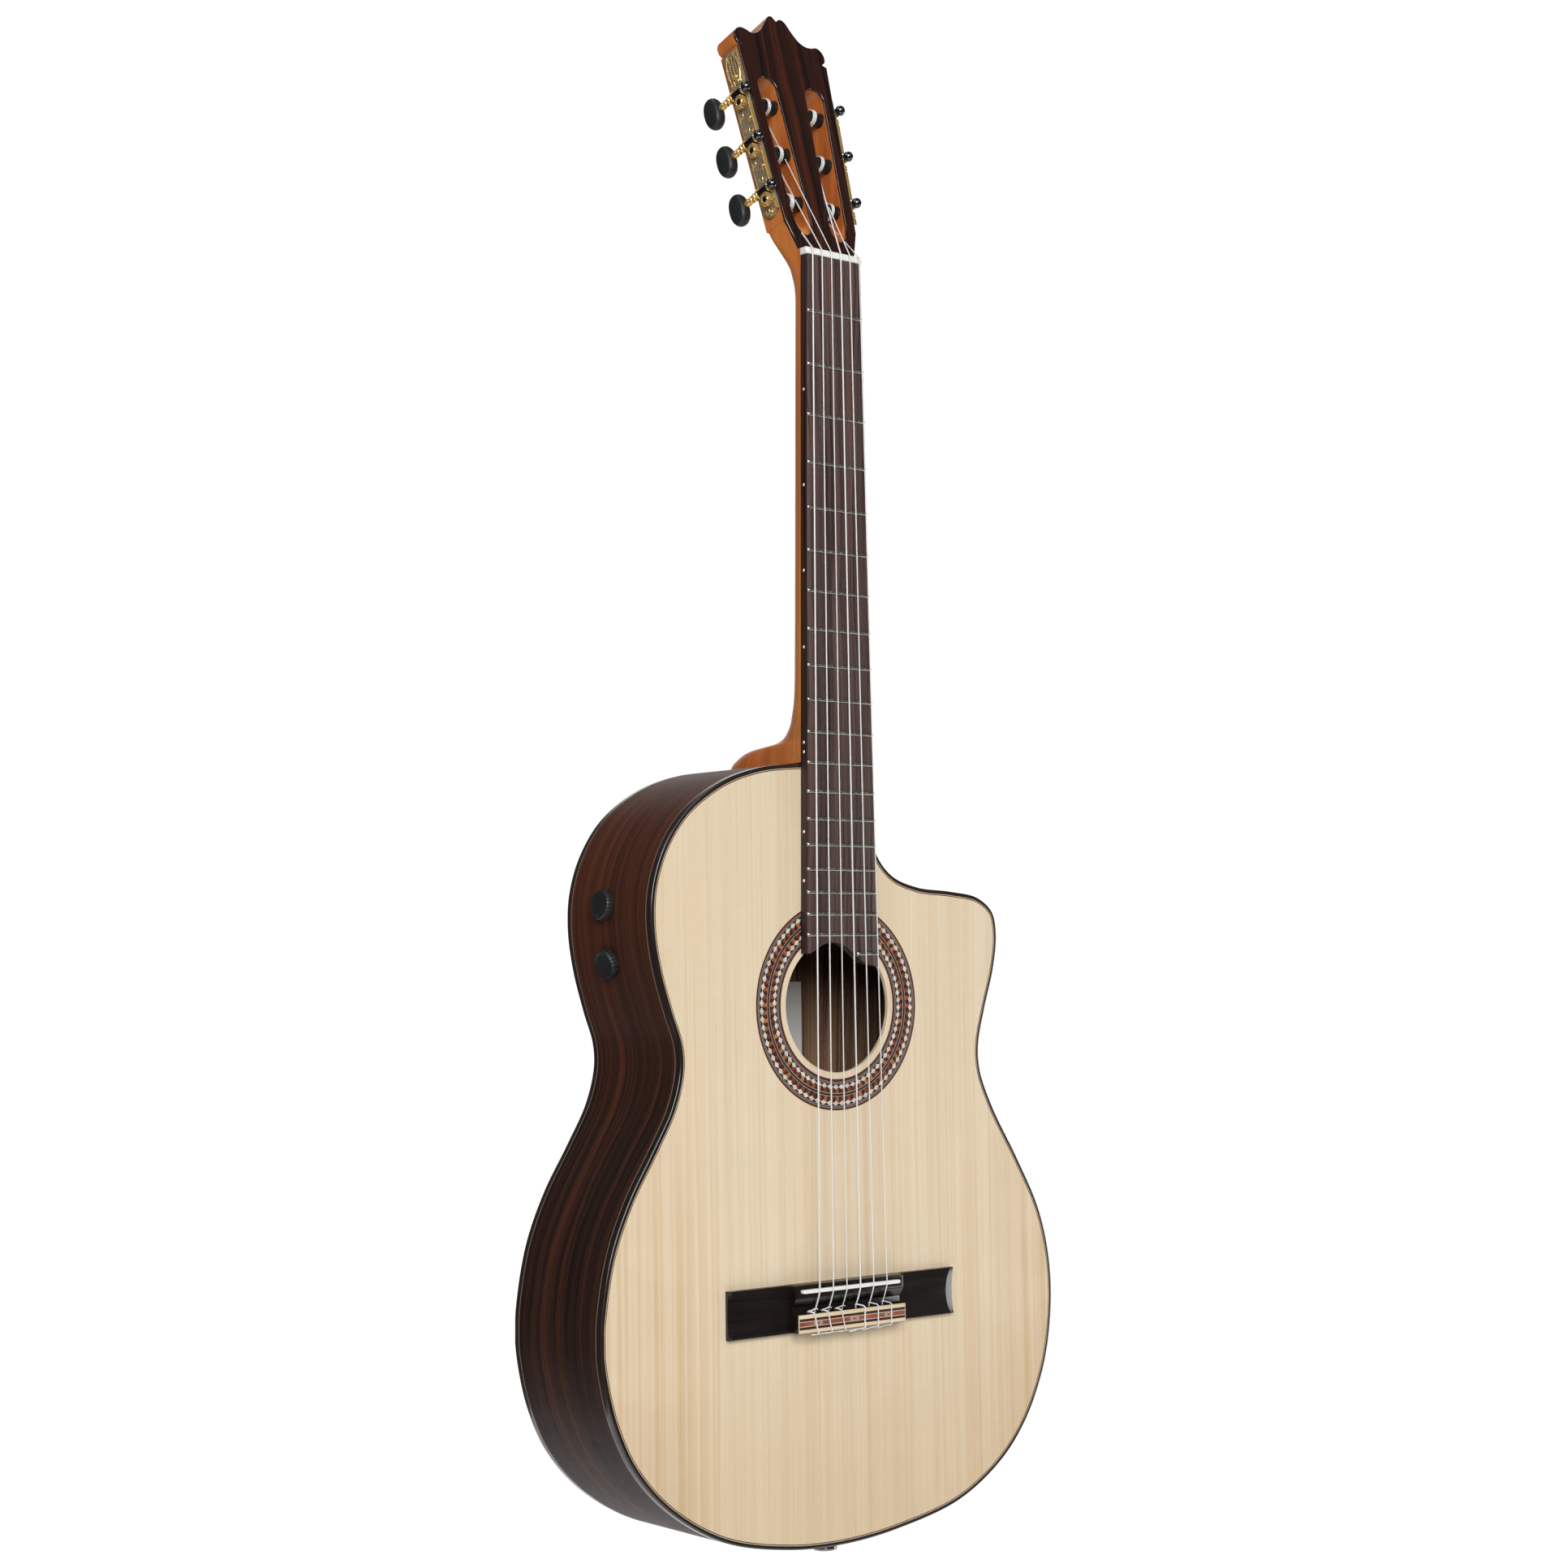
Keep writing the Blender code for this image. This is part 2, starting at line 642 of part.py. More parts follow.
rings = []
for z, d, p, nar in ((-324.7, 87.9, 7.0, 0.20), (-321, 87.2, 5.5, 0.20), (-317.5, 84.5, 4.2, 0.20),
                     (-314.5, 80.5, 3.4, 0.2), (-312.6, 74, 3.0, 0.2), (-311.3, 62, 2.7, 0.2),
                     (-310, 48, 2.5, 0.17), (-307.5, 38.5, 2.35, 0.12), (-303.5, 31.5, 2.3, 0.07),
                     (-298, 26, 2.25, 0.03), (-290, 21.8, 2.2, 0), (-278, 19.2, 2.2, 0),
                     (-255, 18.2, 2.2, 0), (-170, 17.2, 2.2, 0), (-60, 16.2, 2.2, 0)):
    w = board_half(z) - 0.1
    if z < -296:
        w = min(w, 26.9)
    rings.append(section(w, 0, d, p, lambda x, dd, z=z: (x, dd, z), nar))
for z, tau, w, d, p in ((-27, 0.0, 22.9, 16.0, 2.2), (-18, 4.0, 22.8, 16.2, 2.4), (-9.5, 8.5, 22.8, 16.9, 3.0),
                        (-1.5, 13.0, 22.9, 18.0, 4.0), (4.6, 16.45, 23.2, 19.3, 6.0)):
    t = math.radians(tau)
    rings.append(section(w, 0, d, p, lambda x, dd, z=z, t=t: (x, dd * math.cos(t), z - dd * math.sin(t))))
for s_, w, p in ((0.15, 23.3, 6.0), (7.0, 25.6, 9.0), (14.0, 28.1, 16.0), (21.0, 30.0, 30.0)):
    rings.append(section(w, PLATE_T + GAP, HEAD_T - 0.05, p, lambda x, dd, s_=s_: head_pt(x, s_, dd)))
neck = loft(rings, "neck")


def mirrored(loop):
    return [(-x, y) for x, y in reversed(loop)]


# crest of the head, bass edge to treble edge (x, s): a round ear, a hollow, a
# high peak with a small second hump, a long hollow and the other round ear
CREST = [(-37.8, 147.7), (-35.6, 148.6), (-38.3, 151.0), (-39.0, 155.5), (-36.8, 160.0), (-32.6, 162.3),
         (-28.0, 161.7), (-24.0, 160.2), (-19.5, 161.2), (-14.5, 165.5), (-9.5, 172.5), (-5.8, 177.0),
         (-3.0, 177.8), (-0.4, 175.6), (0.6, 174.4), (2.6, 176.3), (5.4, 177.0), (8.3, 175.2),
         (12.0, 169.3), (17.0, 163.0), (22.0, 160.4), (27.5, 160.5), (32.0, 161.8), (35.8, 159.8),
         (37.6, 156.0), (37.2, 151.8), (34.2, 149.0), (37.8, 147.7)]
HEAD_LOOP = ([(-HEAD_HALF0, HEAD_S0)] + CREST + [(HEAD_HALF0, HEAD_S0)])

wood = outline([HEAD_LOOP], HEAD_T - PLATE_T - GAP, HEAD @ at(0, 0, -(HEAD_T + PLATE_T + GAP) / 2))
neck = boolean(neck, wood, 'UNION')


def slot_loop(side, grow=0.0):
    """String slot of the head: straight sides that follow the head's taper, a
    round top and a pointed foot."""
    top_c, r = (20.1, 119.2), 7.9
    pts = []
    for k in range(9):
        a = math.radians(-3 + 186 * k / 8)
        pts.append((top_c[0] + (r + grow) * math.cos(a), top_c[1] + (r + grow) * math.sin(a)))
    pts += [(7.6 - grow, 24.0), (8.6 - grow, 17.0), (11.4 - grow * 0.6, 12.6), (14.2, 11.2 - grow),
            (17.6 + grow * 0.6, 12.9), (20.8 + grow, 17.6), (22.6 + grow, 25.0)]
    return pts if side > 0 else mirrored(pts)


for side in (-1, 1):
    cut = outline([slot_loop(side)], 30, HEAD @ at(0, 0, -HEAD_T / 2))
    for v in cut.data.vertices:           # the slot's foot is a ramp
        if v.co.z < 0 and v.co.y < 0.045:
            v.co.y += 0.022 * (0.045 - v.co.y) / 0.034
    neck = boolean(neck, cut, 'DIFFERENCE')


def side_x(s_):
    return HEAD_HALF0 + (HEAD_HALF1 - HEAD_HALF0) * (s_ - HEAD_S0) / (HEAD_S1 - HEAD_S0)


FLARE = math.atan((HEAD_HALF1 - HEAD_HALF0) / (HEAD_S1 - HEAD_S0))


def tuner_frame(side, s_):
    """Frame on the side of the head at the roller's axis: a points out of the
    head's side, t up along it, n towards the back of the head."""
    cf, sf = math.cos(FLARE), math.sin(FLARE)
    up = Vector((0, S_T, C_T))
    ex = Vector((1, 0, 0))
    n = Vector((0, C_T, -S_T))
    a = ex * (side * cf) - up * sf
    t = ex * (side * sf) + up * cf
    o = Vector(head_pt(side * side_x(s_), s_, ROLLER_DEPTH))
    return o, a, t, n


def basis(o, x, y, z):
    """Placement with its origin at o (mm) and given local axes."""
    return Matrix(((x.x, y.x, z.x, o.x * MM), (x.y, y.y, z.y, o.y * MM),
                   (x.z, y.z, z.z, o.z * MM), (0, 0, 0, 1)))


for side in (-1, 1):
    for s_ in TUNER_S:
        o, a, t, n = tuner_frame(side, s_)
        u = t.cross(n) if t.cross(n).dot(a) > 0 else n.cross(t)
        inner = side_x(s_) - 4.6                      # runs into the middle rib
        c = o - a * (inner / 2 - 1.0)
        x_ax = t
        y_ax = a.cross(t)
        neck = boolean(neck, cylinder(ROLLER_R + 0.35, inner + 2.0, basis(c, x_ax, y_ax, a), 12), 'DIFFERENCE')
add(neck, "neck", MAHOGANY)

# head veneer
ven_loop = [(-23.2, 0.4), (-HEAD_HALF0, HEAD_S0)] + CREST + [(HEAD_HALF0, HEAD_S0), (23.2, 0.4)]
ven = outline([ven_loop, slot_loop(-1), slot_loop(1)], PLATE_T, HEAD @ at(0, 0, -PLATE_T / 2))
add(ven, "headplate", HEADVEN)


# ===========================================================================
# fingerboard, frets, nut
# ===========================================================================
def fret_z(n):
    return -SCALE * (1 - 2 ** (-n / 12))


END = [(-29.6, -444.9), (-27.4, -444.8), (-23.4, -443.2), (-18.0, -440.2), (-13.0, -438.5), (-8.0, -438.1),
       (-3.0, -438.8), (1.0, -440.2), (5.0, -442.5), (9.0, -445.5), (13.5, -448.8), (18.5, -451.4),
       (24.0, -452.9), (29.75, -453.3)]
board = flat([[(-NUT_HALF, -0.3)] + END + [(NUT_HALF, -0.3)]], -GAP - BOARD_T, -GAP)
board_top = -GAP - BOARD_T
board = boolean(board, box(-0.8, 0.8, board_top - 1, board_top + 1.1, -452, -30), 'DIFFERENCE')
add(board, "fingerboard", BOARD, smooth=False)

frets = []
for k in range(1, FRETS + 1):
    z = fret_z(k)
    hw = board_half(z) - 0.25
    x0 = -hw if k < FRETS else 0.35
    x1 = hw
    f = box(x0, x1, board_top - GAP - FRET_H, board_top - GAP, z - FRET_W / 2, z + FRET_W / 2)
    for v in f.data.vertices:
        if v.co.y < (board_top - GAP - FRET_H / 2) * MM:
            v.co.z = (z + (v.co.z / MM - z) * 0.45) * MM
            v.co.x -= math.copysign(0.0005, v.co.x)
    frets.append(f)
rail = box(-0.45, 0.45, board_top - GAP - 0.3, board_top + 0.75, fret_z(FRETS) - 0.5, fret_z(1) + 0.5)
# the last fret is a short one: it starts right of the arch and meets the rail
rail = boolean(rail, join_loose(frets), 'UNION')
add(rail, "fret_set", FRETM, smooth=False)

nut = box(-23.3, 23.3, -7.75, -GAP, 0.1, NUT_T)
for v in nut.data.vertices:                    # its top slopes towards the head
    if v.co.z > 0.004 and v.co.y < -0.005:
        v.co.y += 1.4 * MM
b = nut.modifiers.new("round", 'BEVEL')
b.width = 0.7 * MM
b.segments = 2
b.limit_method = 'ANGLE'
nut = settle(nut)
add(nut, "nut", BONE)

# ===========================================================================
# bridge, saddle, tie block, pickup
# ===========================================================================
wing = yz_block(-92.3, 92.3, [(-GAP, -648.3), (-2.4, -648.4), (-3.6, -650.6), (-4.0, -656), (-4.0, -670),
                              (-3.6, -675.6), (-2.4, -677.8), (-GAP, -677.9)])
block = yz_block(-44.2, 44.2, [(-1.0, -648.9), (-8.0, -649.0), (-8.8, -650.2), (-8.9, -656.4), (-7.4, -660.0),
                               (-5.0, -662.2), (-5.0, -665.9), (-9.9, -666.4), (-9.9, -677.3), (-1.0, -677.4)])
bridge = boolean(wing, block, 'UNION')
bridge = boolean(bridge, box(-40.4, 40.4, -20, -2.2, -654.0, -651.0), 'DIFFERENCE')
STR_X = [(0.5 - k / 5) for k in range(6)]                     # first string at +X
holes = []
for k in range(6):
    x = STR_X[k] * SADDLE_SPREAD
    holes.append(cylinder(1.0, 18, at(x, -6.9, -672), 8))
bridge = boolean(bridge, join_loose(holes), 'DIFFERENCE')
add(bridge, "bridge", BRIDGEW)

saddle = box(-40.0, 40.0, -11.15, -3.4, -653.7, -651.3)
b = saddle.modifiers.new("round", 'BEVEL')
b.width = 0.8 * MM
b.segments = 2
b.limit_method = 'ANGLE'
add(settle(saddle), "saddle", BONE)
add(box(-39.5, 39.5, -3.1, -2.5, -653.6, -651.4), "piezo_pickup", SHIELD, smooth=False)
add(box(-43.8, 43.8, -11.0, -10.2, -677.4, -666.3), "tie_block_inlay", INLAY, smooth=False)

# ===========================================================================
# strings
# ===========================================================================
# roller of each string: first string on the lowest treble roller, third on the
# highest; fourth on the highest bass roller, sixth on the lowest
ROLLER_OF = {1: (1, 0), 2: (1, 1), 3: (1, 2), 4: (-1, 2), 5: (-1, 1), 6: (-1, 0)}
WIND_A = {0: 15.2, 1: 17.2, 2: 17.6}          # winding start, inwards from the head's side
TURNS = 2.3


def string_points(num):
    r = STRING_R[num - 1]
    xs = STR_X[num - 1] * SADDLE_SPREAD
    xn = STR_X[num - 1] * NUT_SPREAD
    side, row = ROLLER_OF[num]
    o, a, t, n = tuner_frame(side, TUNER_S[row])
    wr = (ROLLER_R + r + 0.3) / math.cos(math.pi / 7)    # chords clear the roller
    start = o - a * WIND_A[row]
    head = []
    # windings: from the tangent point at the front, over the top and round
    steps = 7
    pitch = 2 * r + 0.35
    for k in range(int(TURNS * steps) + 1):
        ang = 2 * math.pi * k / steps
        v = -n * math.cos(ang) + t * math.sin(ang)
        head.append(start + v * wr + a * (pitch * ang / (2 * math.pi)))
    head.reverse()
    pts = [tuple(p) for p in head]
    pts += [(xn, STRING_NUT_Y, 3.2), (xn, STRING_NUT_Y, 0.0)]
    pts += [(xs, STRING_SADDLE_Y - 0.02, -651.9), (xs, STRING_SADDLE_Y + 0.03, -653.2)]
    side_step = 2 * r + 0.45
    pts += [(xs, -7.2, -664.2), (xs, -6.9, -666.2), (xs, -6.9, -678.4), (xs + 0.25 * side_step, -7.6, -679.3),
            (xs + 0.6 * side_step, -10.6, -679.3), (xs + 0.9 * side_step, -11.35 - r, -678.2),
            (xs + side_step, -11.35 - r, -665.6), (xs + side_step, -10.2, -664.6), (xs + side_step, -8.6, -664.4)]
    return pts


for num in range(1, 7):
    st = tube(string_points(num), STRING_R[num - 1])
    add(st, "string_%d" % num, NYLON if num <= 3 else WOUND, angle=80)

# ===========================================================================
# preamp, knobs, output jack
# ===========================================================================
add(box(-136.0, -116.0, 32, 62, -460, -402), "preamp", BLACKP, smooth=False)


def rib_at(z):
    """Outer edge point on the bass side at height z and its outward normal."""
    i = int(np.argmin(np.abs(LINE_B[:18, 1] - z)))
    j = i if LINE_B[i, 1] > z else i - 1
    p, q = LINE_B[j], LINE_B[j + 1]
    f = (z - p[1]) / (q[1] - p[1])
    d = (q - p) / np.linalg.norm(q - p)
    nrm = Vector((d[1], 0, -d[0]))
    if nrm.x > 0:
        nrm = -nrm
    return Vector((p[0] + f * (q[0] - p[0]), 0, z)), nrm


KNOB_Y = 47.0
knob_axes = {}
for name, z in (("volume_knob", -414.3), ("tone_knob", -449.0)):
    p, nrm = rib_at(z)
    p.y = KNOB_Y
    x_ax = Vector((0, 1, 0))
    y_ax = nrm.cross(x_ax)
    place = basis(p, x_ax, y_ax, nrm)
    reach = (p.x + 136.5) / nrm.x if abs(nrm.x) > 0.1 else 8.0
    rib_b = boolean(rib_b, cylinder(3.4, 30, place, 12), 'DIFFERENCE')
    inner = -(abs(p.x + 136.0) / abs(nrm.x)) + 1.2
    prof = [(0, 5.6), (7.9, 5.6), (8.8, 5.2), (9.2, 4.2), (9.5, 0.6), (9.2, 0.35), (3.0, 0.35), (3.0, inner), (0, inner)]
    add(turned(prof, 16, place), name, BLACKP)
add(rib_b, "rib_bass", ROSEWOOD)

# output jack with its strap-button flange, bored through the tail block
jz = -812.0
prof = [(0, -778.0), (5.0, -778.0), (5.9, -780.0), (5.9, jz - 0.1), (8.4, jz - 0.3), (8.4, jz - 1.9), (6.2, jz - 2.6),
        (5.4, jz - 5.0), (5.6, jz - 8.6), (7.7, jz - 9.8), (8.1, jz - 10.8), (8.0, jz - 12.0), (7.0, jz - 12.6), (0, jz - 12.6)]
add(turned([(r, z - jz) for r, z in prof], 14, at(JACK[0], JACK[1], jz)), "output_jack", CHROME)

# ===========================================================================
# tuning machines
# ===========================================================================
EARS = ((2.7, 3.8), (12.0, 13.1))              # bearing posts, depth behind the head's face
WORM_A = GEAR_A + GEAR_W / 2                   # worm axis, out from the side of the head


def side_plate(side):
    """Side plate in the side's own frame: x = up along the plate, y = depth."""
    o, a, t, n = tuner_frame(side, TUNER_S[1])
    # local x = t, local y = n, local z = t x n (out on the bass side)
    z = t.cross(n)
    sgn = 1.0 if z.dot(a) > 0 else -1.0
    mat = basis(o, t, n, z)
    s_mid = TUNER_S[1]
    d0, d1 = 1.5 - ROLLER_DEPTH, 17.0 - ROLLER_DEPTH
    lo, hi = 26.0 - s_mid, 146.6 - s_mid
    mid = (d0 + d1) / 2
    h = (d1 - d0) / 2
    loop = []
    for k in range(9):                           # round foot
        ang = math.pi * k / 8
        loop.append((lo + h - h * math.sin(ang), mid - h * math.cos(ang)))
    loop += [(hi - 22, d1), (hi - 2, d1 - 0.8), (hi, mid + 2.0), (hi, mid - 2.0), (hi - 2, d0 + 0.8), (hi - 22, d0)]
    pl = outline([loop], PLATE_A1 - PLATE_A0, mat @ at(0, 0, sgn * (PLATE_A0 + PLATE_A1) / 2))
    for s_ in TUNER_S:
        c = s_ - s_mid
        for e0, e1 in EARS:
            ear = outline([[(c + CENTRES - 2.9, 0), (c + CENTRES - 2.9, sgn * (WORM_A + 0.6)),
                            (c + CENTRES - 1.7, sgn * (WORM_A + 2.3)), (c + CENTRES + 1.7, sgn * (WORM_A + 2.3)),
                            (c + CENTRES + 2.9, sgn * (WORM_A + 0.6)), (c + CENTRES + 2.9, 0)][::int(sgn)]],
                          e1 - e0, Matrix.Identity(4))
            # ear outline is (t, a): stand it up on the plate
            ear.matrix_world = mat @ at(0, (e0 + e1) / 2 - ROLLER_DEPTH, 0) @ Matrix.Rotation(math.radians(90), 4, 'X')
            for v in ear.data.vertices:          # foot of the ear stays inside the plate
                if abs(v.co.y) < 1e-6:
                    v.co.y = sgn * (PLATE_A0 + 0.5) * MM
            pl = boolean(pl, ear, 'UNION')
        bore = cylinder(1.75, 16, mat @ at(c + CENTRES, 8.0 - ROLLER_DEPTH, sgn * WORM_A) @ Matrix.Rotation(math.radians(90), 4, 'X'), 8)
        pl = boolean(pl, bore, 'DIFFERENCE')
        pl = boolean(pl, cylinder(2.35, 8, mat @ at(c, 0, sgn * 1.0), 8), 'DIFFERENCE')
    return pl


add(side_plate(-1), "tuner_plate_bass", GOLD, smooth=False)
add(side_plate(1), "tuner_plate_treble", GOLD, smooth=False)


def gear_loop():
    """Gear outline with a gap centred on local +X."""
    pts = []
    for k in range(TEETH):
        c = (k + 0.5) * 2 * math.pi / TEETH
        for r, da in ((GEAR_ROOT, -0.112), (GEAR_TIP, -0.052), (GEAR_TIP, 0.052), (GEAR_ROOT, 0.112)):
            pts.append((r * math.cos(c + da), r * math.sin(c + da)))
    return pts


def worm_shape(mat):
    """Worm shaft about local Z (pointing to the button), local X towards the
    gear, origin on the line of centres."""
    d = ROLLER_DEPTH
    prof = [(0, 26.7), (2.4, 26.4), (1.7, 24.4), (2.4, 23.0), (1.6, 21.6), (2.9, 20.0), (2.9, 18.0),
            (1.9, 15.2), (1.9, 13.4), (WORM_CORE, 13.4), (WORM_CORE, 2.4), (2.5, 2.4), (2.5, 1.9),
            (1.6, 1.6), (2.45, 0.4), (2.3, -1.2), (0, -2.5)]
    body = turned([(r, z - d) for r, z in prof], 9, Matrix.Identity(4))
    pts = []
    per = 8
    turns = 2.9
    n = int(turns * per)
    for k in range(n + 1):
        ang = 2 * math.pi * (k - n / 2) / per
        pts.append(((WORM_TIP - 0.38) * math.cos(ang), (WORM_TIP - 0.38) * math.sin(ang), LEAD * ang / (2 * math.pi)))
    body = boolean(body, tube(pts, 0.38, res=0), 'UNION')
    body.matrix_world = mat
    return body


number = {(-1, 0): 6, (-1, 1): 5, (-1, 2): 4, (1, 2): 3, (1, 1): 2, (1, 0): 1}
for (side, row), num in sorted(number.items(), key=lambda q: q[1]):
    o, a, t, n = tuner_frame(side, TUNER_S[row])
    # roller, gear: local Z = a
    place = basis(o, t, a.cross(t), a)
    inner = -(side_x(TUNER_S[row]) - 5.4)
    rol = turned([(0, GEAR_A - GAP), (2.0, GEAR_A - GAP), (2.0, -0.4), (ROLLER_R, -0.4), (ROLLER_R, inner + 0.6),
                  (ROLLER_R - 0.6, inner), (0, inner)], 12, place)
    add(rol, "roller_%d" % num, BLACKP)
    gear = outline([gear_loop()], GEAR_W, place @ at(0, 0, GEAR_A + GEAR_W / 2))
    gear.data.transform(Matrix.Translation((0, 0, (GEAR_A + GEAR_W / 2) * MM)))
    gear.matrix_world = place
    add(gear, "gear_%d" % num, GOLD, smooth=False)
    # worm: local Z = n, local X = -t (towards the gear)
    w0 = o + t * CENTRES + a * WORM_A
    x_ax = -t
    place = basis(w0, x_ax, n.cross(x_ax), n)
    add(worm_shape(place), "worm_shaft_%d" % num, BLACKM)
    # button: an oval grip, long across the shaft
    bm = bmesh.new()
    bmesh.ops.create_uvsphere(bm, u_segments=12, v_segments=8, radius=MM)
    for v in bm.verts:
        v.co = (v.co.x * 10.4, v.co.y * 4.3, v.co.z * 6.9)
        v.co.z += (34.0 - ROLLER_DEPTH) * MM
    me = bpy.data.meshes.new("button")
    bm.to_mesh(me)
    bm.free()
    btn = scratch(me, "button")
    btn.matrix_world = place
    add(btn, "tuner_button_%d" % num, BLACKP, angle=60)

# nothing but the finished pieces stays in the scene
for ob in list(CUTS.objects):
    bpy.data.objects.remove(ob, do_unlink=True)
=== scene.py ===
"""Looks of the cutaway nylon-string guitar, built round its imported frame."""
import json
import math

import bmesh
import bpy
import numpy as np
from mathutils import Matrix, Vector


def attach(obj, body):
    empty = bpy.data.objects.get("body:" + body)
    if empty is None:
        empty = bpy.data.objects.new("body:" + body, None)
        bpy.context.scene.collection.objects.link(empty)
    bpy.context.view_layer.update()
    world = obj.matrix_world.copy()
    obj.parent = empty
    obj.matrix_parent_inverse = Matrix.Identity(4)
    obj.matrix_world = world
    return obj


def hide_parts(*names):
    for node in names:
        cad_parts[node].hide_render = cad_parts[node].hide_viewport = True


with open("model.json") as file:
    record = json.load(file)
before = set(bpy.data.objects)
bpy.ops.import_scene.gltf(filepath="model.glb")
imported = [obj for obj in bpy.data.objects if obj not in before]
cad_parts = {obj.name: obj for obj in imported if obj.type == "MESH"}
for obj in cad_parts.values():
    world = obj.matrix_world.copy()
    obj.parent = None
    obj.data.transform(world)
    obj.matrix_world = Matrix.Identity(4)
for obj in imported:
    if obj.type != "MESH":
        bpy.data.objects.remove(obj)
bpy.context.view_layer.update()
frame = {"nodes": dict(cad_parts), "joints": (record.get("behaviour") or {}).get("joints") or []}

MM = 0.001
NODES = frame["nodes"]
scene = bpy.context.scene


# ===========================================================================
# material building
# ===========================================================================
def C(r, g, b):
    """Display colour 0-255 as linear."""
    def f(v):
        v /= 255.0
        return v / 12.92 if v <= 0.04045 else ((v + 0.055) / 1.055) ** 2.4
    return (f(r), f(g), f(b), 1.0)


class Mat:
    def __init__(self, name, base=(0.5, 0.5, 0.5, 1), rough=0.4, metal=0.0, coat=0.0, coat_rough=0.06,
                 spec=0.5, trans=0.0):
        self.m = bpy.data.materials.new(name)
        self.m.use_nodes = True
        self.nt = self.m.node_tree
        self.b = self.nt.nodes["Principled BSDF"]
        for k, v in (("Base Color", base), ("Roughness", rough), ("Metallic", metal), ("Coat Weight", coat),
                     ("Coat Roughness", coat_rough), ("Specular IOR Level", spec), ("Transmission Weight", trans)):
            self.b.inputs[k].default_value = v
        self.m.diffuse_color = base

    def new(self, kind, **props):
        n = self.nt.nodes.new(kind)
        for k, v in props.items():
            setattr(n, k, v)
        return n

    def put(self, sock, v):
        if isinstance(v, bpy.types.NodeSocket):
            self.nt.links.new(v, sock)
        elif v is not None:
            sock.default_value = v

    def obj(self):
        return self.new("ShaderNodeTexCoord").outputs["Object"]

    def uv(self, name="wood"):
        return self.new("ShaderNodeUVMap", uv_map=name).outputs[0]

    def xyz(self, v):
        n = self.new("ShaderNodeSeparateXYZ")
        self.put(n.inputs[0], v)
        return n.outputs[0], n.outputs[1], n.outputs[2]

    def vec(self, x, y, z):
        n = self.new("ShaderNodeCombineXYZ")
        for i, v in enumerate((x, y, z)):
            self.put(n.inputs[i], v)
        return n.outputs[0]

    def map(self, v, scale=(1, 1, 1), loc=(0, 0, 0), rot=(0, 0, 0)):
        n = self.new("ShaderNodeMapping")
        self.put(n.inputs["Vector"], v)
        n.inputs["Scale"].default_value = scale
        n.inputs["Location"].default_value = loc
        n.inputs["Rotation"].default_value = rot
        return n.outputs[0]

    def noise(self, v, scale=1.0, detail=2.0, rough=0.5, dist=0.0):
        n = self.new("ShaderNodeTexNoise")
        self.put(n.inputs["Vector"], v)
        n.inputs["Scale"].default_value = scale
        n.inputs["Detail"].default_value = detail
        n.inputs["Roughness"].default_value = rough
        n.inputs["Distortion"].default_value = dist
        return n.outputs["Fac"]

    def voronoi(self, v, scale=1.0, feature='F1'):
        n = self.new("ShaderNodeTexVoronoi", feature=feature)
        self.put(n.inputs["Vector"], v)
        n.inputs["Scale"].default_value = scale
        return n.outputs["Distance"]

    def white(self, v):
        n = self.new("ShaderNodeTexWhiteNoise", noise_dimensions='3D')
        self.put(n.inputs["Vector"], v)
        return n.outputs["Value"]

    def math(self, op, a, b=None, c=None, clamp=False):
        n = self.new("ShaderNodeMath", operation=op, use_clamp=clamp)
        for i, v in enumerate((a, b, c)):
            if v is not None:
                self.put(n.inputs[i], v)
        return n.outputs[0]

    def step(self, v, a, b, lo=0.0, hi=1.0):
        """Smooth step of v from lo at a to hi at b."""
        n = self.new("ShaderNodeMapRange", interpolation_type='SMOOTHSTEP')
        self.put(n.inputs[0], v)
        n.inputs[1].default_value = a
        n.inputs[2].default_value = b
        n.inputs[3].default_value = lo
        n.inputs[4].default_value = hi
        return n.outputs[0]

    def ramp(self, fac, stops, interp='LINEAR'):
        n = self.new("ShaderNodeValToRGB")
        n.color_ramp.interpolation = interp
        els = n.color_ramp.elements
        while len(els) > 1:
            els.remove(els[-1])
        els[0].position, els[0].color = stops[0]
        for p, c in stops[1:]:
            e = els.new(p)
            e.color = c
        self.put(n.inputs[0], fac)
        return n.outputs[0]

    def mix(self, fac, a, b, mode='MIX'):
        n = self.new("ShaderNodeMix", data_type='RGBA', blend_type=mode)
        self.put(n.inputs[0], fac)
        self.put(n.inputs[6], a)
        self.put(n.inputs[7], b)
        return n.outputs[2]

    def color(self, v):
        self.put(self.b.inputs["Base Color"], v)

    def rough(self, v):
        self.put(self.b.inputs["Roughness"], v)

    def bump(self, height, strength=0.2, dist=0.0002):
        n = self.new("ShaderNodeBump")
        n.inputs["Strength"].default_value = strength
        n.inputs["Distance"].default_value = dist
        self.put(n.inputs["Height"], height)
        self.put(self.b.inputs["Normal"], n.outputs[0])
        return n.outputs[0]


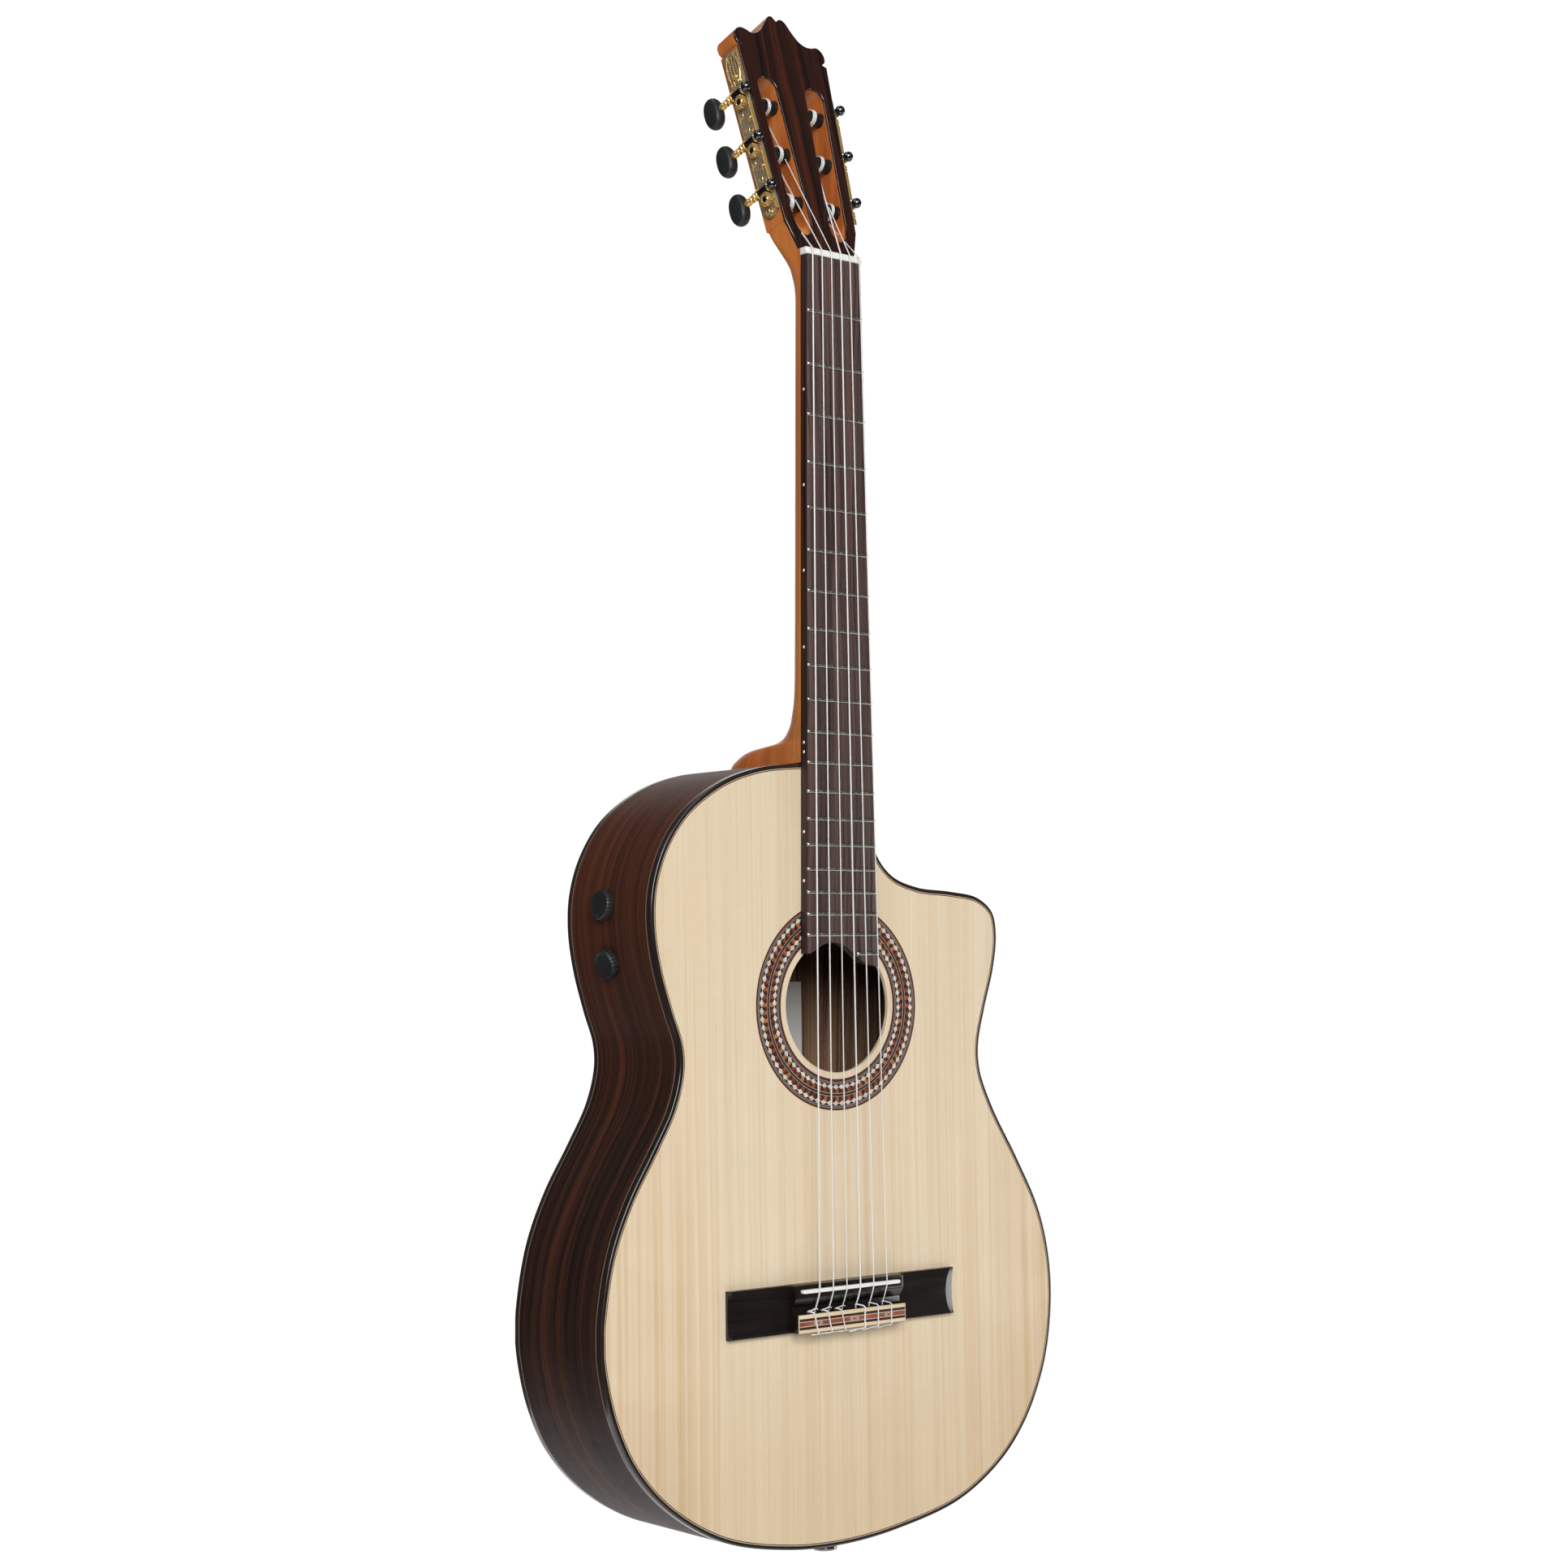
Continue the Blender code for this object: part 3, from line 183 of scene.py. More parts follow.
def spruce_material(name="spruce_top", inside=False):
    m = Mat(name, C(224, 206, 179), 0.36, coat=0.0 if inside else 0.25, coat_rough=0.22, spec=0.35)
    x, y, z = m.xyz(m.obj())
    side = m.math('SIGN', x)
    ax = m.math('ABSOLUTE', x)
    # the two halves are cut from one billet, so the grain mirrors, a little out of step
    wav = m.noise(m.vec(m.math('MULTIPLY', ax, 6), side, m.math('MULTIPLY', z, 2.2)), 1, 2)
    gx = m.math('ADD', ax, m.math('MULTIPLY', m.math('SUBTRACT', wav, 0.5), 0.006))
    fine = m.noise(m.vec(m.math('MULTIPLY', gx, 820), m.math('MULTIPLY', side, 3.1), m.math('MULTIPLY', z, 2.5)), 1, 2, 0.55)
    mid = m.noise(m.vec(m.math('MULTIPLY', gx, 170), m.math('MULTIPLY', side, 1.7), m.math('MULTIPLY', z, 1.3)), 1, 2, 0.5)
    broad = m.noise(m.vec(m.math('MULTIPLY', gx, 36), m.math('MULTIPLY', side, 0.12), m.math('MULTIPLY', z, 0.7)), 1, 2, 0.5)
    silk = m.noise(m.vec(m.math('MULTIPLY', x, 70), 0.0, m.math('MULTIPLY', z, 520)), 1, 3, 0.6)
    silk2 = m.noise(m.vec(m.math('MULTIPLY', x, 14), 0.3, m.math('MULTIPLY', z, 26)), 1, 2, 0.5)
    base = m.ramp(broad, [(0.28, C(233, 217, 190)), (0.50, C(230, 213, 185)), (0.68, C(226, 206, 176)), (0.82, C(228, 205, 178))])
    lines = m.ramp(fine, [(0.36, C(255, 255, 255)), (0.54, C(251, 248, 243)), (0.68, C(236, 224, 208))])
    base = m.mix(0.6, base, lines, 'MULTIPLY')
    lines2 = m.ramp(mid, [(0.42, C(255, 255, 255)), (0.68, C(247, 235, 219))])
    base = m.mix(m.step(silk2, 0.3, 0.7, 0.15, 0.6), base, lines2, 'MULTIPLY')
    # golden streaks toward the edges of the lower bout
    low = m.math('MULTIPLY', m.step(ax, 0.085, 0.135), m.step(z, -0.52, -0.64))
    gold = m.math('MULTIPLY', low, m.step(mid, 0.40, 0.66))
    base = m.mix(m.math('MULTIPLY', gold, 0.6), base, C(210, 178, 136), 'MIX')
    tint = m.math('MULTIPLY', m.step(silk, 0.40, 0.68), 0.08)
    base = m.mix(tint, base, C(206, 180, 146))
    base = m.mix(m.math('MULTIPLY', m.step(silk2, 0.42, 0.62), 0.12), base, C(244, 228, 204))
    # painted shade: the lower bout's colour is darkened a little
    base = m.mix(m.step(z, -0.63, -0.80), base, C(242, 237, 231), 'MULTIPLY')
    if inside:
        base = m.mix(0.35, base, C(150, 112, 78))
    m.color(base)
    m.rough(m.step(silk, 0.3, 0.7, 0.32, 0.42))
    m.bump(fine, 0.03, 0.0001)
    return m.m


def rosewood(name, src, scale=1.0, colours=None, coat=0.0, rough=0.46, spec=0.22, top_red=False):
    """Dark open-pored wood; src gives (along, across) coordinates in metres."""
    m = Mat(name, C(52, 33, 27), rough, coat=coat, coat_rough=0.16, spec=spec)
    along, across = src(m)
    wob = m.noise(m.vec(m.math('MULTIPLY', along, 5.5), m.math('MULTIPLY', across, 14), 0.0), scale, 3, 0.5)
    ac = m.math('ADD', across, m.math('MULTIPLY', m.math('SUBTRACT', wob, 0.5), 0.018))
    wide = m.noise(m.vec(m.math('MULTIPLY', along, 1.1), m.math('MULTIPLY', ac, 135), 0.0), scale, 3, 0.55)
    thin = m.noise(m.vec(m.math('MULTIPLY', along, 4.0), m.math('MULTIPLY', ac, 520), 2.0), scale, 3, 0.6)
    pore = m.noise(m.vec(m.math('MULTIPLY', along, 120), m.math('MULTIPLY', across, 2600), 5.0), scale, 2, 0.5)
    cs = colours or [(0.28, C(33, 24, 22)), (0.44, C(46, 30, 25)), (0.56, C(62, 37, 28)), (0.70, C(84, 47, 33))]
    base = m.ramp(wide, cs)
    lines = m.ramp(thin, [(0.36, C(104, 96, 94)), (0.50, C(255, 255, 255)), (0.72, C(255, 232, 214))])
    base = m.mix(0.9, base, lines, 'MULTIPLY')
    base = m.mix(m.step(pore, 0.60, 0.72, 0.0, 0.55), base, C(22, 15, 14))
    if top_red:
        x, y, z = m.xyz(m.obj())
        base = m.mix(m.math('MULTIPLY', m.step(z, -0.58, -0.38), 0.26), base, C(112, 60, 38), 'MIX')
    m.color(base)
    m.rough(m.step(pore, 0.5, 0.75, rough, rough + 0.18))
    m.bump(m.math('SUBTRACT', m.math('MULTIPLY', thin, 0.4), m.step(pore, 0.58, 0.74)), 0.16, 0.00012)
    return m.m


def src_uv(m):
    u, v, _ = m.xyz(m.uv())
    return u, v


def src_back(m):
    x, y, z = m.xyz(m.obj())
    return z, m.math('ABSOLUTE', x)


def src_x(m):
    x, y, z = m.xyz(m.obj())
    return x, z


def src_zx(m):
    x, y, z = m.xyz(m.obj())
    return z, x


def plain_wood(name, dark, mid, light, rough=0.45, coat=0.2, stretch=(90, 90, 5), pore=0.25, coat_rough=0.25):
    m = Mat(name, mid, rough, coat=coat, coat_rough=coat_rough, spec=0.4)
    o = m.obj()
    a = m.noise(m.map(o, stretch), 1, 3, 0.55, 0.4)
    f = m.noise(m.map(o, tuple(s * 9 for s in stretch)), 1, 2, 0.6)
    g = m.noise(m.map(o, tuple(s * 0.22 for s in stretch)), 1, 2, 0.5)
    base = m.ramp(a, [(0.28, dark), (0.50, mid), (0.72, light)])
    base = m.mix(m.step(g, 0.35, 0.65, 0.0, 0.35), base, light)
    base = m.mix(m.step(f, 0.56, 0.72, 0.0, pore), base, dark)
    m.color(base)
    m.rough(m.step(f, 0.4, 0.7, rough - 0.05, rough + 0.12))
    m.bump(f, 0.08, 0.0001)
    return m.m


def plain(name, base, rough, metal=0.0, coat=0.0, coat_rough=0.08, spec=0.5, grain=900.0, vary=0.10, bump=0.05,
          dist=0.00005, dark=0.7, trans=0.0):
    """Moulded, cast or polished material: slight mottling, roughness and fine relief."""
    m = Mat(name, base, rough, metal, coat, coat_rough, spec, trans)
    o = m.obj()
    n1 = m.noise(m.map(o, (grain,) * 3), 1, 3, 0.6)
    n2 = m.noise(m.map(o, (grain * 0.12,) * 3), 1, 2, 0.5)
    low = tuple(c * dark for c in base[:3]) + (1.0,)
    m.color(m.mix(m.step(n2, 0.35, 0.65, 0.0, vary * 2.2), base, low))
    m.rough(m.step(n1, 0.3, 0.7, max(0.02, rough - vary * 0.5), rough + vary * 0.6))
    if bump:
        m.bump(n1, bump, dist)
    return m.m


def rosette_material():
    m = Mat("rosette_mosaic", C(80, 40, 30), 0.35, coat=0.3, coat_rough=0.15)
    x, y, z = m.xyz(m.obj())
    zz = m.math('ADD', z, 0.4775)
    r = m.math('MULTIPLY', m.math('SQRT', m.math('ADD', m.math('MULTIPLY', x, x), m.math('MULTIPLY', zz, zz))), 1000)
    th = m.math('DIVIDE', m.math('ARCTAN2', zz, x), 2 * math.pi)
    red, black, grey = C(84, 34, 24), C(46, 28, 24), C(182, 170, 156)
    span = 66.2 - 46.2

    def at(v):
        return (v - 46.2) / span
    f = m.math('DIVIDE', m.math('SUBTRACT', r, 46.2), span)
    lines = [(0.0, red), (at(47.8), black), (at(48.2), grey), (at(48.5), black), (at(49.2), grey), (at(49.5), C(26, 19, 18)),
             (at(55.15), grey), (at(55.5), C(50, 30, 25)), (at(57.0), grey), (at(57.35), C(26, 19, 18)), (at(63.2), grey), (at(63.5), black),
             (at(64.2), grey), (at(64.5), red)]
    base = m.ramp(f, lines, 'CONSTANT')
    for count, centre, half, sgn, r0, r1 in ((68, 51.3, 1.6, 1.0, 49.6, 55.1), (76, 61.55, 1.6, -1.0, 57.4, 63.1)):
        t = m.math('ADD', m.math('MULTIPLY', th, float(count)), 200.0)
        cell = m.math('FLOOR', t)
        u = m.math('FRACT', t)
        d = m.math('MULTIPLY', m.math('ABSOLUTE', m.math('SUBTRACT', u, 0.5)), 2.0)
        off = m.math('MULTIPLY', m.math('SUBTRACT', r, centre), sgn)          # positive towards the middle line
        edge = m.math('MULTIPLY', m.math('SUBTRACT', 1.0, d), half)
        inside = m.math('LESS_THAN', m.math('ABSOLUTE', off), edge)
        below = m.math('MULTIPLY', m.math('GREATER_THAN', off, 0.0), m.math('SUBTRACT', 1.0, inside))
        band = m.math('MULTIPLY', m.math('GREATER_THAN', r, r0), m.math('LESS_THAN', r, r1))
        rnd = m.white(m.vec(cell, centre, 0.0))
        rnd2 = m.white(m.vec(cell, centre, 3.0))
        cube_a = m.ramp(rnd, [(0.0, C(50, 22, 17)), (0.6, C(72, 30, 20)), (1.0, C(38, 20, 18))])
        cube_b = m.ramp(rnd2, [(0.0, C(112, 52, 30)), (0.45, C(150, 80, 44)), (0.75, C(178, 118, 72)), (1.0, C(96, 42, 28))])
        cube = m.mix(m.math('GREATER_THAN', u, 0.5), cube_a, cube_b)
        base = m.mix(m.math('MULTIPLY', band, below), base, cube)
        base = m.mix(m.math('MULTIPLY', band, inside), base, m.ramp(rnd, [(0.0, C(226, 218, 206)), (1.0, C(208, 198, 184))]))
    o = m.obj()
    n = m.noise(m.map(o, (1600, 1600, 400)), 1, 2)
    base = m.mix(m.step(n, 0.4, 0.7, 0.0, 0.12), base, C(60, 40, 32))
    m.color(base)
    m.rough(m.step(n, 0.3, 0.7, 0.30, 0.40))
    return m.m


SPRUCE = spruce_material()
SPRUCE_IN = spruce_material("spruce_inside", True)
ROSE_RIB = rosewood("rosewood_ribs", src_uv, top_red=True, colours=[(0.30, C(22, 15, 13)), (0.44, C(42, 26, 20)), (0.55, C(60, 35, 25)),
                                                              (0.70, C(92, 50, 31))])
ROSE_BACK = rosewood("rosewood_back", src_back)
INNER = rosewood("back_inside", src_back, colours=[(0.28, C(110, 84, 70)), (0.44, C(138, 108, 88)), (0.58, C(166, 132, 100)),
                                                   (0.74, C(142, 112, 96))], coat=0.0, rough=0.6)
BINDING = rosewood("binding_wood", src_uv, colours=[(0.3, C(24, 18, 16)), (0.6, C(40, 29, 25)), (0.8, C(52, 36, 30))], coat=1.0, rough=0.28)
PURF_LIGHT = plain("purfling_light", C(196, 172, 140), 0.4, coat=0.3, grain=700, vary=0.12)
PURF_SIDE = plain("purfling_side", C(150, 122, 98), 0.4, coat=0.3, grain=700, vary=0.12)
PURF_DARK = plain("purfling_dark", C(36, 24, 22), 0.4, coat=0.3, grain=700, vary=0.1)
ROSETTE = rosette_material()
NECK = plain_wood("neck_cedar", C(156, 78, 28), C(194, 104, 42), C(212, 132, 66), 0.42, 0.35, (70, 70, 6), 0.35)
BLOCKW = plain_wood("block_wood", C(92, 60, 42), C(116, 80, 56), C(134, 96, 70), 0.65, 0.0, (70, 70, 12), 0.3)
BRACEW = plain_wood("brace_wood", C(150, 120, 86), C(176, 146, 106), C(194, 166, 126), 0.7, 0.0, (30, 260, 260), 0.2)
VENEER = rosewood("head_veneer", src_zx, colours=[(0.28, C(18, 9, 8)), (0.44, C(36, 16, 11)), (0.57, C(56, 25, 15)),
                                                  (0.72, C(80, 38, 22))], coat=0.4, rough=0.3)
HEAD_EDGE = plain("head_edge_black", C(24, 17, 16), 0.18, coat=1.0, coat_rough=0.03, grain=300, vary=0.1, bump=0.0)
BOARD = rosewood("fingerboard_wood", src_zx, colours=[(0.28, C(62, 46, 44)), (0.44, C(82, 65, 62)), (0.56, C(98, 77, 72)),
                                                      (0.72, C(112, 84, 76))], coat=0.0, rough=0.46)
BOARD_SIDE = rosewood("fingerboard_side", lambda m: (lambda q: (q[2], q[1]))(m.xyz(m.obj())),
                      colours=[(0.3, C(38, 28, 26)), (0.55, C(54, 40, 36)), (0.75, C(64, 46, 40))], coat=0.1, rough=0.42)
FRET = plain("fret_nickel", C(206, 204, 196), 0.24, 1.0, grain=1400, vary=0.22, bump=0.04, dark=0.55)
BONE = plain("nut_bone", C(240, 240, 236), 0.3, coat=0.35, coat_rough=0.12, grain=400, vary=0.05, dark=0.93, bump=0.02)
DOT = plain("side_dot", C(236, 234, 226), 0.35, grain=900, vary=0.05, dark=0.95)
BRIDGE = rosewood("bridge_rosewood", src_x, colours=[(0.3, C(14, 11, 10)), (0.5, C(21, 15, 13)), (0.66, C(30, 19, 15)),
                                                     (0.8, C(40, 23, 17))], coat=0.5, rough=0.3)
TIE_CREAM = plain_wood("tie_cream", C(206, 178, 142), C(226, 202, 168), C(236, 216, 186), 0.4, 0.5, (10, 200, 300), 0.15)
TIE_DARK = plain_wood("tie_dark", C(44, 24, 18), C(60, 34, 24), C(76, 44, 30), 0.35, 0.6, (12, 300, 500), 0.3)
TIE_ORANGE = plain_wood("tie_orange", C(98, 42, 26), C(140, 70, 42), C(168, 98, 60), 0.35, 0.6, (60, 200, 200), 0.3)
TIE_WHITE = plain("tie_white", C(214, 206, 198), 0.35, coat=0.4, grain=600, vary=0.08, dark=0.9)
TIE_RED = plain("tie_red", C(112, 38, 26), 0.35, coat=0.4, grain=600, vary=0.15)
NYLON = plain("nylon_string", C(236, 235, 232), 0.2, coat=0.2, grain=300, vary=0.06, dark=0.92, trans=0.12, bump=0.0)
BLACKP = plain("black_plastic", C(27, 28, 30), 0.42, grain=2600, vary=0.2, bump=0.10, dist=0.00004)
ROLLERP = plain("roller_plastic", C(24, 24, 25), 0.3, grain=1200, vary=0.2, bump=0.05)
BUTTON = plain("button_black", C(30, 31, 33), 0.45, spec=0.55, grain=2200, vary=0.2, bump=0.10, dist=0.00004)
GOLD = plain("gold_plate_polished", C(240, 200, 126), 0.24, 0.72, grain=900, vary=0.10, bump=0.03, dark=0.72)
BLACKM = plain("black_metal", C(58, 57, 58), 0.26, 0.9, grain=1600, vary=0.25, bump=0.06, dark=0.45)
BALL = plain("dark_chrome", C(96, 97, 100), 0.10, 1.0, grain=700, vary=0.08, bump=0.0, dark=0.6)
STEEL = plain("bright_steel", C(214, 212, 208), 0.16, 1.0, grain=900, vary=0.1, bump=0.02)
CHROME = plain("chrome_jack", C(158, 152, 148), 0.13, 1.0, grain=700, vary=0.10, bump=0.0, dark=0.6)
SHIELD = plain("pickup_shield", C(168, 120, 78), 0.45, 0.8, grain=1200, vary=0.2)
PAPER = plain("label_paper", C(240, 238, 234), 0.85, grain=2400, vary=0.1, dark=0.94, bump=0.08)


def wound_material():
    m = Mat("wound_string", C(232, 231, 228), 0.3, 0.25)
    x, y, z = m.xyz(m.obj())
    n = m.new("ShaderNodeTexWave", wave_type='BANDS', bands_direction='Z', wave_profile='SIN')
    m.put(n.inputs["Vector"], m.obj())
    n.inputs["Scale"].default_value = 640.0
    n.inputs["Distortion"].default_value = 0.0
    w = n.outputs["Fac"]
    # painted shade: the grooves between the wraps are coloured darker than the crests, on the same bands as the bump
    m.color(m.mix(w, C(206, 204, 200), C(244, 243, 240)))
    m.rough(m.step(w, 0.0, 1.0, 0.42, 0.28))
    m.bump(w, 0.4, 0.00008)
    return m.m


WOUND = wound_material()


def engraved_material():
    """Side plate: raised scrolls on a darker stippled ground."""
    m = Mat("gold_engraved", C(188, 168, 130), 0.36, 0.5)
    o = m.obj()
    a = m.noise(m.map(o, (330,) * 3), 1, 2, 0.5, 2.6)
    ring = m.math('ABSOLUTE', m.math('SUBTRACT', m.math('FRACT', m.math('MULTIPLY', a, 5.0)), 0.5))
    s = m.step(ring, 0.16, 0.30)
    st = m.voronoi(m.map(o, (2200,) * 3), 1)
    base = m.mix(s, C(238, 220, 186), C(136, 118, 92))
    base = m.mix(m.math('MULTIPLY', m.step(st, 0.2, 0.6), 0.4), base, C(84, 70, 52))
    m.color(base)
    m.rough(m.step(ring, 0.1, 0.35, 0.22, 0.42))
    m.bump(m.math('ADD', m.math('MULTIPLY', s, -1.0), m.math('MULTIPLY', st, 0.5)), 0.35, 0.0002)
    return m.m


ENGRAVED = engraved_material()


# ===========================================================================
# geometry helpers (millimetres in, metres out)
# ===========================================================================
def tidy(mesh, dist=0.000002):
    bm = bmesh.new()
    bm.from_mesh(mesh)
    bmesh.ops.remove_doubles(bm, verts=bm.verts, dist=dist)
    bmesh.ops.recalc_face_normals(bm, faces=bm.faces)
    bm.to_mesh(mesh)
    bm.free()


def piece(name, mesh, mats, smooth=35.0, body="root", replaces=()):
    ob = bpy.data.objects.new(name, mesh)
    mesh.name = name
    scene.collection.objects.link(ob)
    idx = np.zeros(len(mesh.polygons), dtype=np.int32)
    mesh.polygons.foreach_get("material_index", idx)
    mesh.materials.clear()
    mats = mats if isinstance(mats, (list, tuple)) else [mats]
    for m in mats:
        mesh.materials.append(m)
    mesh.polygons.foreach_set("material_index", np.minimum(idx, len(mats) - 1))
    if smooth:
        mesh.shade_smooth()
        mesh.set_sharp_from_angle(angle=math.radians(smooth))
    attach(ob, body)
    if replaces:
        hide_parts(*replaces)
    return ob


def mesh_of(verts, faces, clean=True, mat=None):
    me = bpy.data.meshes.new("m")
    me.from_pydata([tuple(float(c) * MM for c in v) for v in verts], [], faces)
    me.update()
    if mat is not None:
        me.transform(mat)
    if clean:
        tidy(me)
    return me


def join(*meshes):
    """Meshes as one, each mesh's faces given the material index paired with it."""
    bm = bmesh.new()
    for i, (me, idx) in enumerate(meshes):
        n0 = len(bm.faces)
        bm.from_mesh(me)
        bm.faces.ensure_lookup_table()
        for f in bm.faces[n0:]:
            f.material_index = idx
    out = bpy.data.meshes.new("j")
    bm.to_mesh(out)
    bm.free()
    return out


def spline(points, dense=24, closed=False):
    p = np.array(points, float)
    if closed:
        p = np.vstack([p[-1], p, p[0], p[1]])
    else:
        p = np.vstack([2 * p[0] - p[1], p, 2 * p[-1] - p[-2]])
    out = []
    for i in range(1, len(p) - 2):
        p0, p1, p2, p3 = p[i - 1], p[i], p[i + 1], p[i + 2]
        d0 = max(np.linalg.norm(p1 - p0), 1e-6) ** 0.5
        d1 = max(np.linalg.norm(p2 - p1), 1e-6) ** 0.5
        d2 = max(np.linalg.norm(p3 - p2), 1e-6) ** 0.5
        m1 = d1 * ((p1 - p0) / d0 - (p2 - p0) / (d0 + d1) + (p2 - p1) / d1)
        m2 = d1 * ((p2 - p1) / d1 - (p3 - p1) / (d1 + d2) + (p3 - p2) / d2)
        for k in range(dense):
            t = k / dense
            out.append((2 * t**3 - 3 * t**2 + 1) * p1 + (t**3 - 2 * t**2 + t) * m1
                       + (-2 * t**3 + 3 * t**2) * p2 + (t**3 - t**2) * m2)
    if not closed:
        out.append(p[-2])
    return np.array(out)


def thin_out(line, count, turn_weight=0.9):
    seg = np.diff(line, axis=0)
    ln = np.hypot(seg[:, 0], seg[:, 1])
    ang = np.unwrap(np.arctan2(seg[:, 1], seg[:, 0]))
    turn = np.abs(np.diff(ang, prepend=ang[0]))
    s = np.concatenate([[0], np.cumsum(ln / ln.sum() + turn_weight * turn / max(turn.sum(), 1e-9))])
    want = np.linspace(0, s[-1], count + 1)
    return np.column_stack([np.interp(want, s, line[:, 0]), np.interp(want, s, line[:, 1])])


FRONT = Matrix(((1, 0, 0, 0), (0, 0, -1, 0), (0, 1, 0, 0), (0, 0, 0, 1)))


def at(x, y, z):
    return Matrix.Translation((x * MM, y * MM, z * MM))


def plate(loops, thick, mat, bevel=0.0, segs=2):
    """Filled outline with holes, extruded about its plane; rounded rims."""
    cu = bpy.data.curves.new("o", 'CURVE')
    cu.dimensions = '2D'
    cu.fill_mode = 'BOTH'
    cu.extrude = (thick / 2 - bevel) * MM
    if bevel:
        cu.bevel_depth = bevel * MM
        cu.bevel_resolution = segs
        cu.offset = -bevel * MM
    for loop in loops:
        sp = cu.splines.new('POLY')
        sp.points.add(len(loop) - 1)
        for p, q in zip(sp.points, loop):
            p.co = (q[0] * MM, q[1] * MM, 0, 1)
        sp.use_cyclic_u = True
    ob = bpy.data.objects.new("o", cu)
    scene.collection.objects.link(ob)
    bpy.context.view_layer.update()
    me = bpy.data.meshes.new_from_object(ob.evaluated_get(bpy.context.evaluated_depsgraph_get()))
    bpy.data.objects.remove(ob, do_unlink=True)
    me.transform(mat)
    tidy(me, 0.000004)
    return me


def flat(loops, y0, y1, bevel=0.0, segs=2):
    return plate(loops, y1 - y0, at(0, (y0 + y1) / 2, 0) @ FRONT, bevel, segs)


def circle(cx, cz, r, n=96):
    return [(cx + r * math.cos(2 * math.pi * k / n), cz + r * math.sin(2 * math.pi * k / n)) for k in range(n)]


def boolean(a, b, op):
    """Boolean of two meshes in world place by the exact solver."""
    oa, ob = bpy.data.objects.new("a", a), bpy.data.objects.new("b", b)
    scene.collection.objects.link(oa)
    scene.collection.objects.link(ob)
    m = oa.modifiers.new("c", 'BOOLEAN')
    m.operation, m.solver, m.object = op, 'EXACT', ob
    bpy.context.view_layer.update()
    me = bpy.data.meshes.new_from_object(oa.evaluated_get(bpy.context.evaluated_depsgraph_get()))
    bpy.data.objects.remove(oa, do_unlink=True)
    bpy.data.objects.remove(ob, do_unlink=True)
    return me


def bevelled(me, width, segs=2, angle=30):
    ob = bpy.data.objects.new("a", me)
    scene.collection.objects.link(ob)
    b = ob.modifiers.new("b", 'BEVEL')
    b.width, b.segments, b.limit_method, b.angle_limit = width * MM, segs, 'ANGLE', math.radians(angle)
    bpy.context.view_layer.update()
    out = bpy.data.meshes.new_from_object(ob.evaluated_get(bpy.context.evaluated_depsgraph_get()))
    bpy.data.objects.remove(ob, do_unlink=True)
    return out


def box(x0, x1, y0, y1, z0, z1, bevel=0.0, segs=2, mat=None):
    v = [(x, y, z) for x in (x0, x1) for y in (y0, y1) for z in (z0, z1)]
    f = [(0, 1, 3, 2), (4, 6, 7, 5), (0, 4, 5, 1), (2, 3, 7, 6), (0, 2, 6, 4), (1, 5, 7, 3)]
    me = mesh_of(v, f)
    if bevel:
        me = bevelled(me, bevel, segs)
    if mat is not None:
        me.transform(mat)
    return me


def skin(rings, closed=True, caps=True, loop=False):
    verts, faces = [], []
    n = len(rings[0])
    for r in rings:
        verts += list(r)
    k = len(rings)
    for i in range(k if loop else k - 1):
        a, b = i * n, ((i + 1) % k) * n
        for j in range(n if closed else n - 1):
            jj = (j + 1) % n
            faces.append((a + j, a + jj, b + jj, b + j))
    if caps and not loop:
        faces.append(tuple(range(n)))
        faces.append(tuple(reversed(range((k - 1) * n, k * n))))
    return mesh_of(verts, faces)


def revolve(profile, n, mat, mod=None):
    verts, faces, rows = [], [], []
    for r, z in profile:
        if r < 1e-6:
            rows.append([len(verts)])
            verts.append((0, 0, z))
        else:
            row = []
            for k in range(n):
                a = 2 * math.pi * k / n
                rr = r * (mod(a, r, z) if mod else 1.0)
                row.append(len(verts))
                verts.append((rr * math.cos(a), rr * math.sin(a), z))
            rows.append(row)
    for A, B in zip(rows, rows[1:]):
        if len(A) == 1 and len(B) == 1:
            continue
        for k in range(n):
            j = (k + 1) % n
            if len(A) == 1:
                faces.append((A[0], B[k], B[j]))
            elif len(B) == 1:
                faces.append((A[k], B[0], A[j]))
            else:
                faces.append((A[k], B[k], B[j], A[j]))
    return mesh_of(verts, faces, True, mat)


def arc(r, z0, z1, n=6):
    """Quarter-round points are left to the caller; here a straight run at radius r from z0 to z1."""
    h = (z1 - z0) / 2
    return [(r + abs(h) * math.sin(math.pi * k / n) * 0.0, z0 + (z1 - z0) * k / n) for k in range(n + 1)]


def bead(r_in, r_out, z0, z1, n=7):
    return [(r_in + (r_out - r_in) * math.sin(math.pi * k / n) ** 0.7, z0 + (z1 - z0) * k / n) for k in range(n + 1)]


def tube(path, r, n=10, closed_ends=True):
    """Round wire along a smooth path of points in mm."""
    p = np.array(path, float)
    t = np.gradient(p, axis=0)
    t /= np.linalg.norm(t, axis=1)[:, None]
    ref = np.array([0.3, 0.9, 0.1])
    u = np.cross(t[0], ref)
    u /= np.linalg.norm(u)
    rings = []
    rr = np.full(len(p), float(r)) if np.isscalar(r) else np.array(r, float)
    for i in range(len(p)):
        u = u - t[i] * np.dot(u, t[i])
        u /= np.linalg.norm(u)
        v = np.cross(t[i], u)
        rings.append([p[i] + rr[i] * (u * math.cos(a) + v * math.sin(a))
                      for a in (2 * math.pi * k / n for k in range(n))])
    return skin(rings)


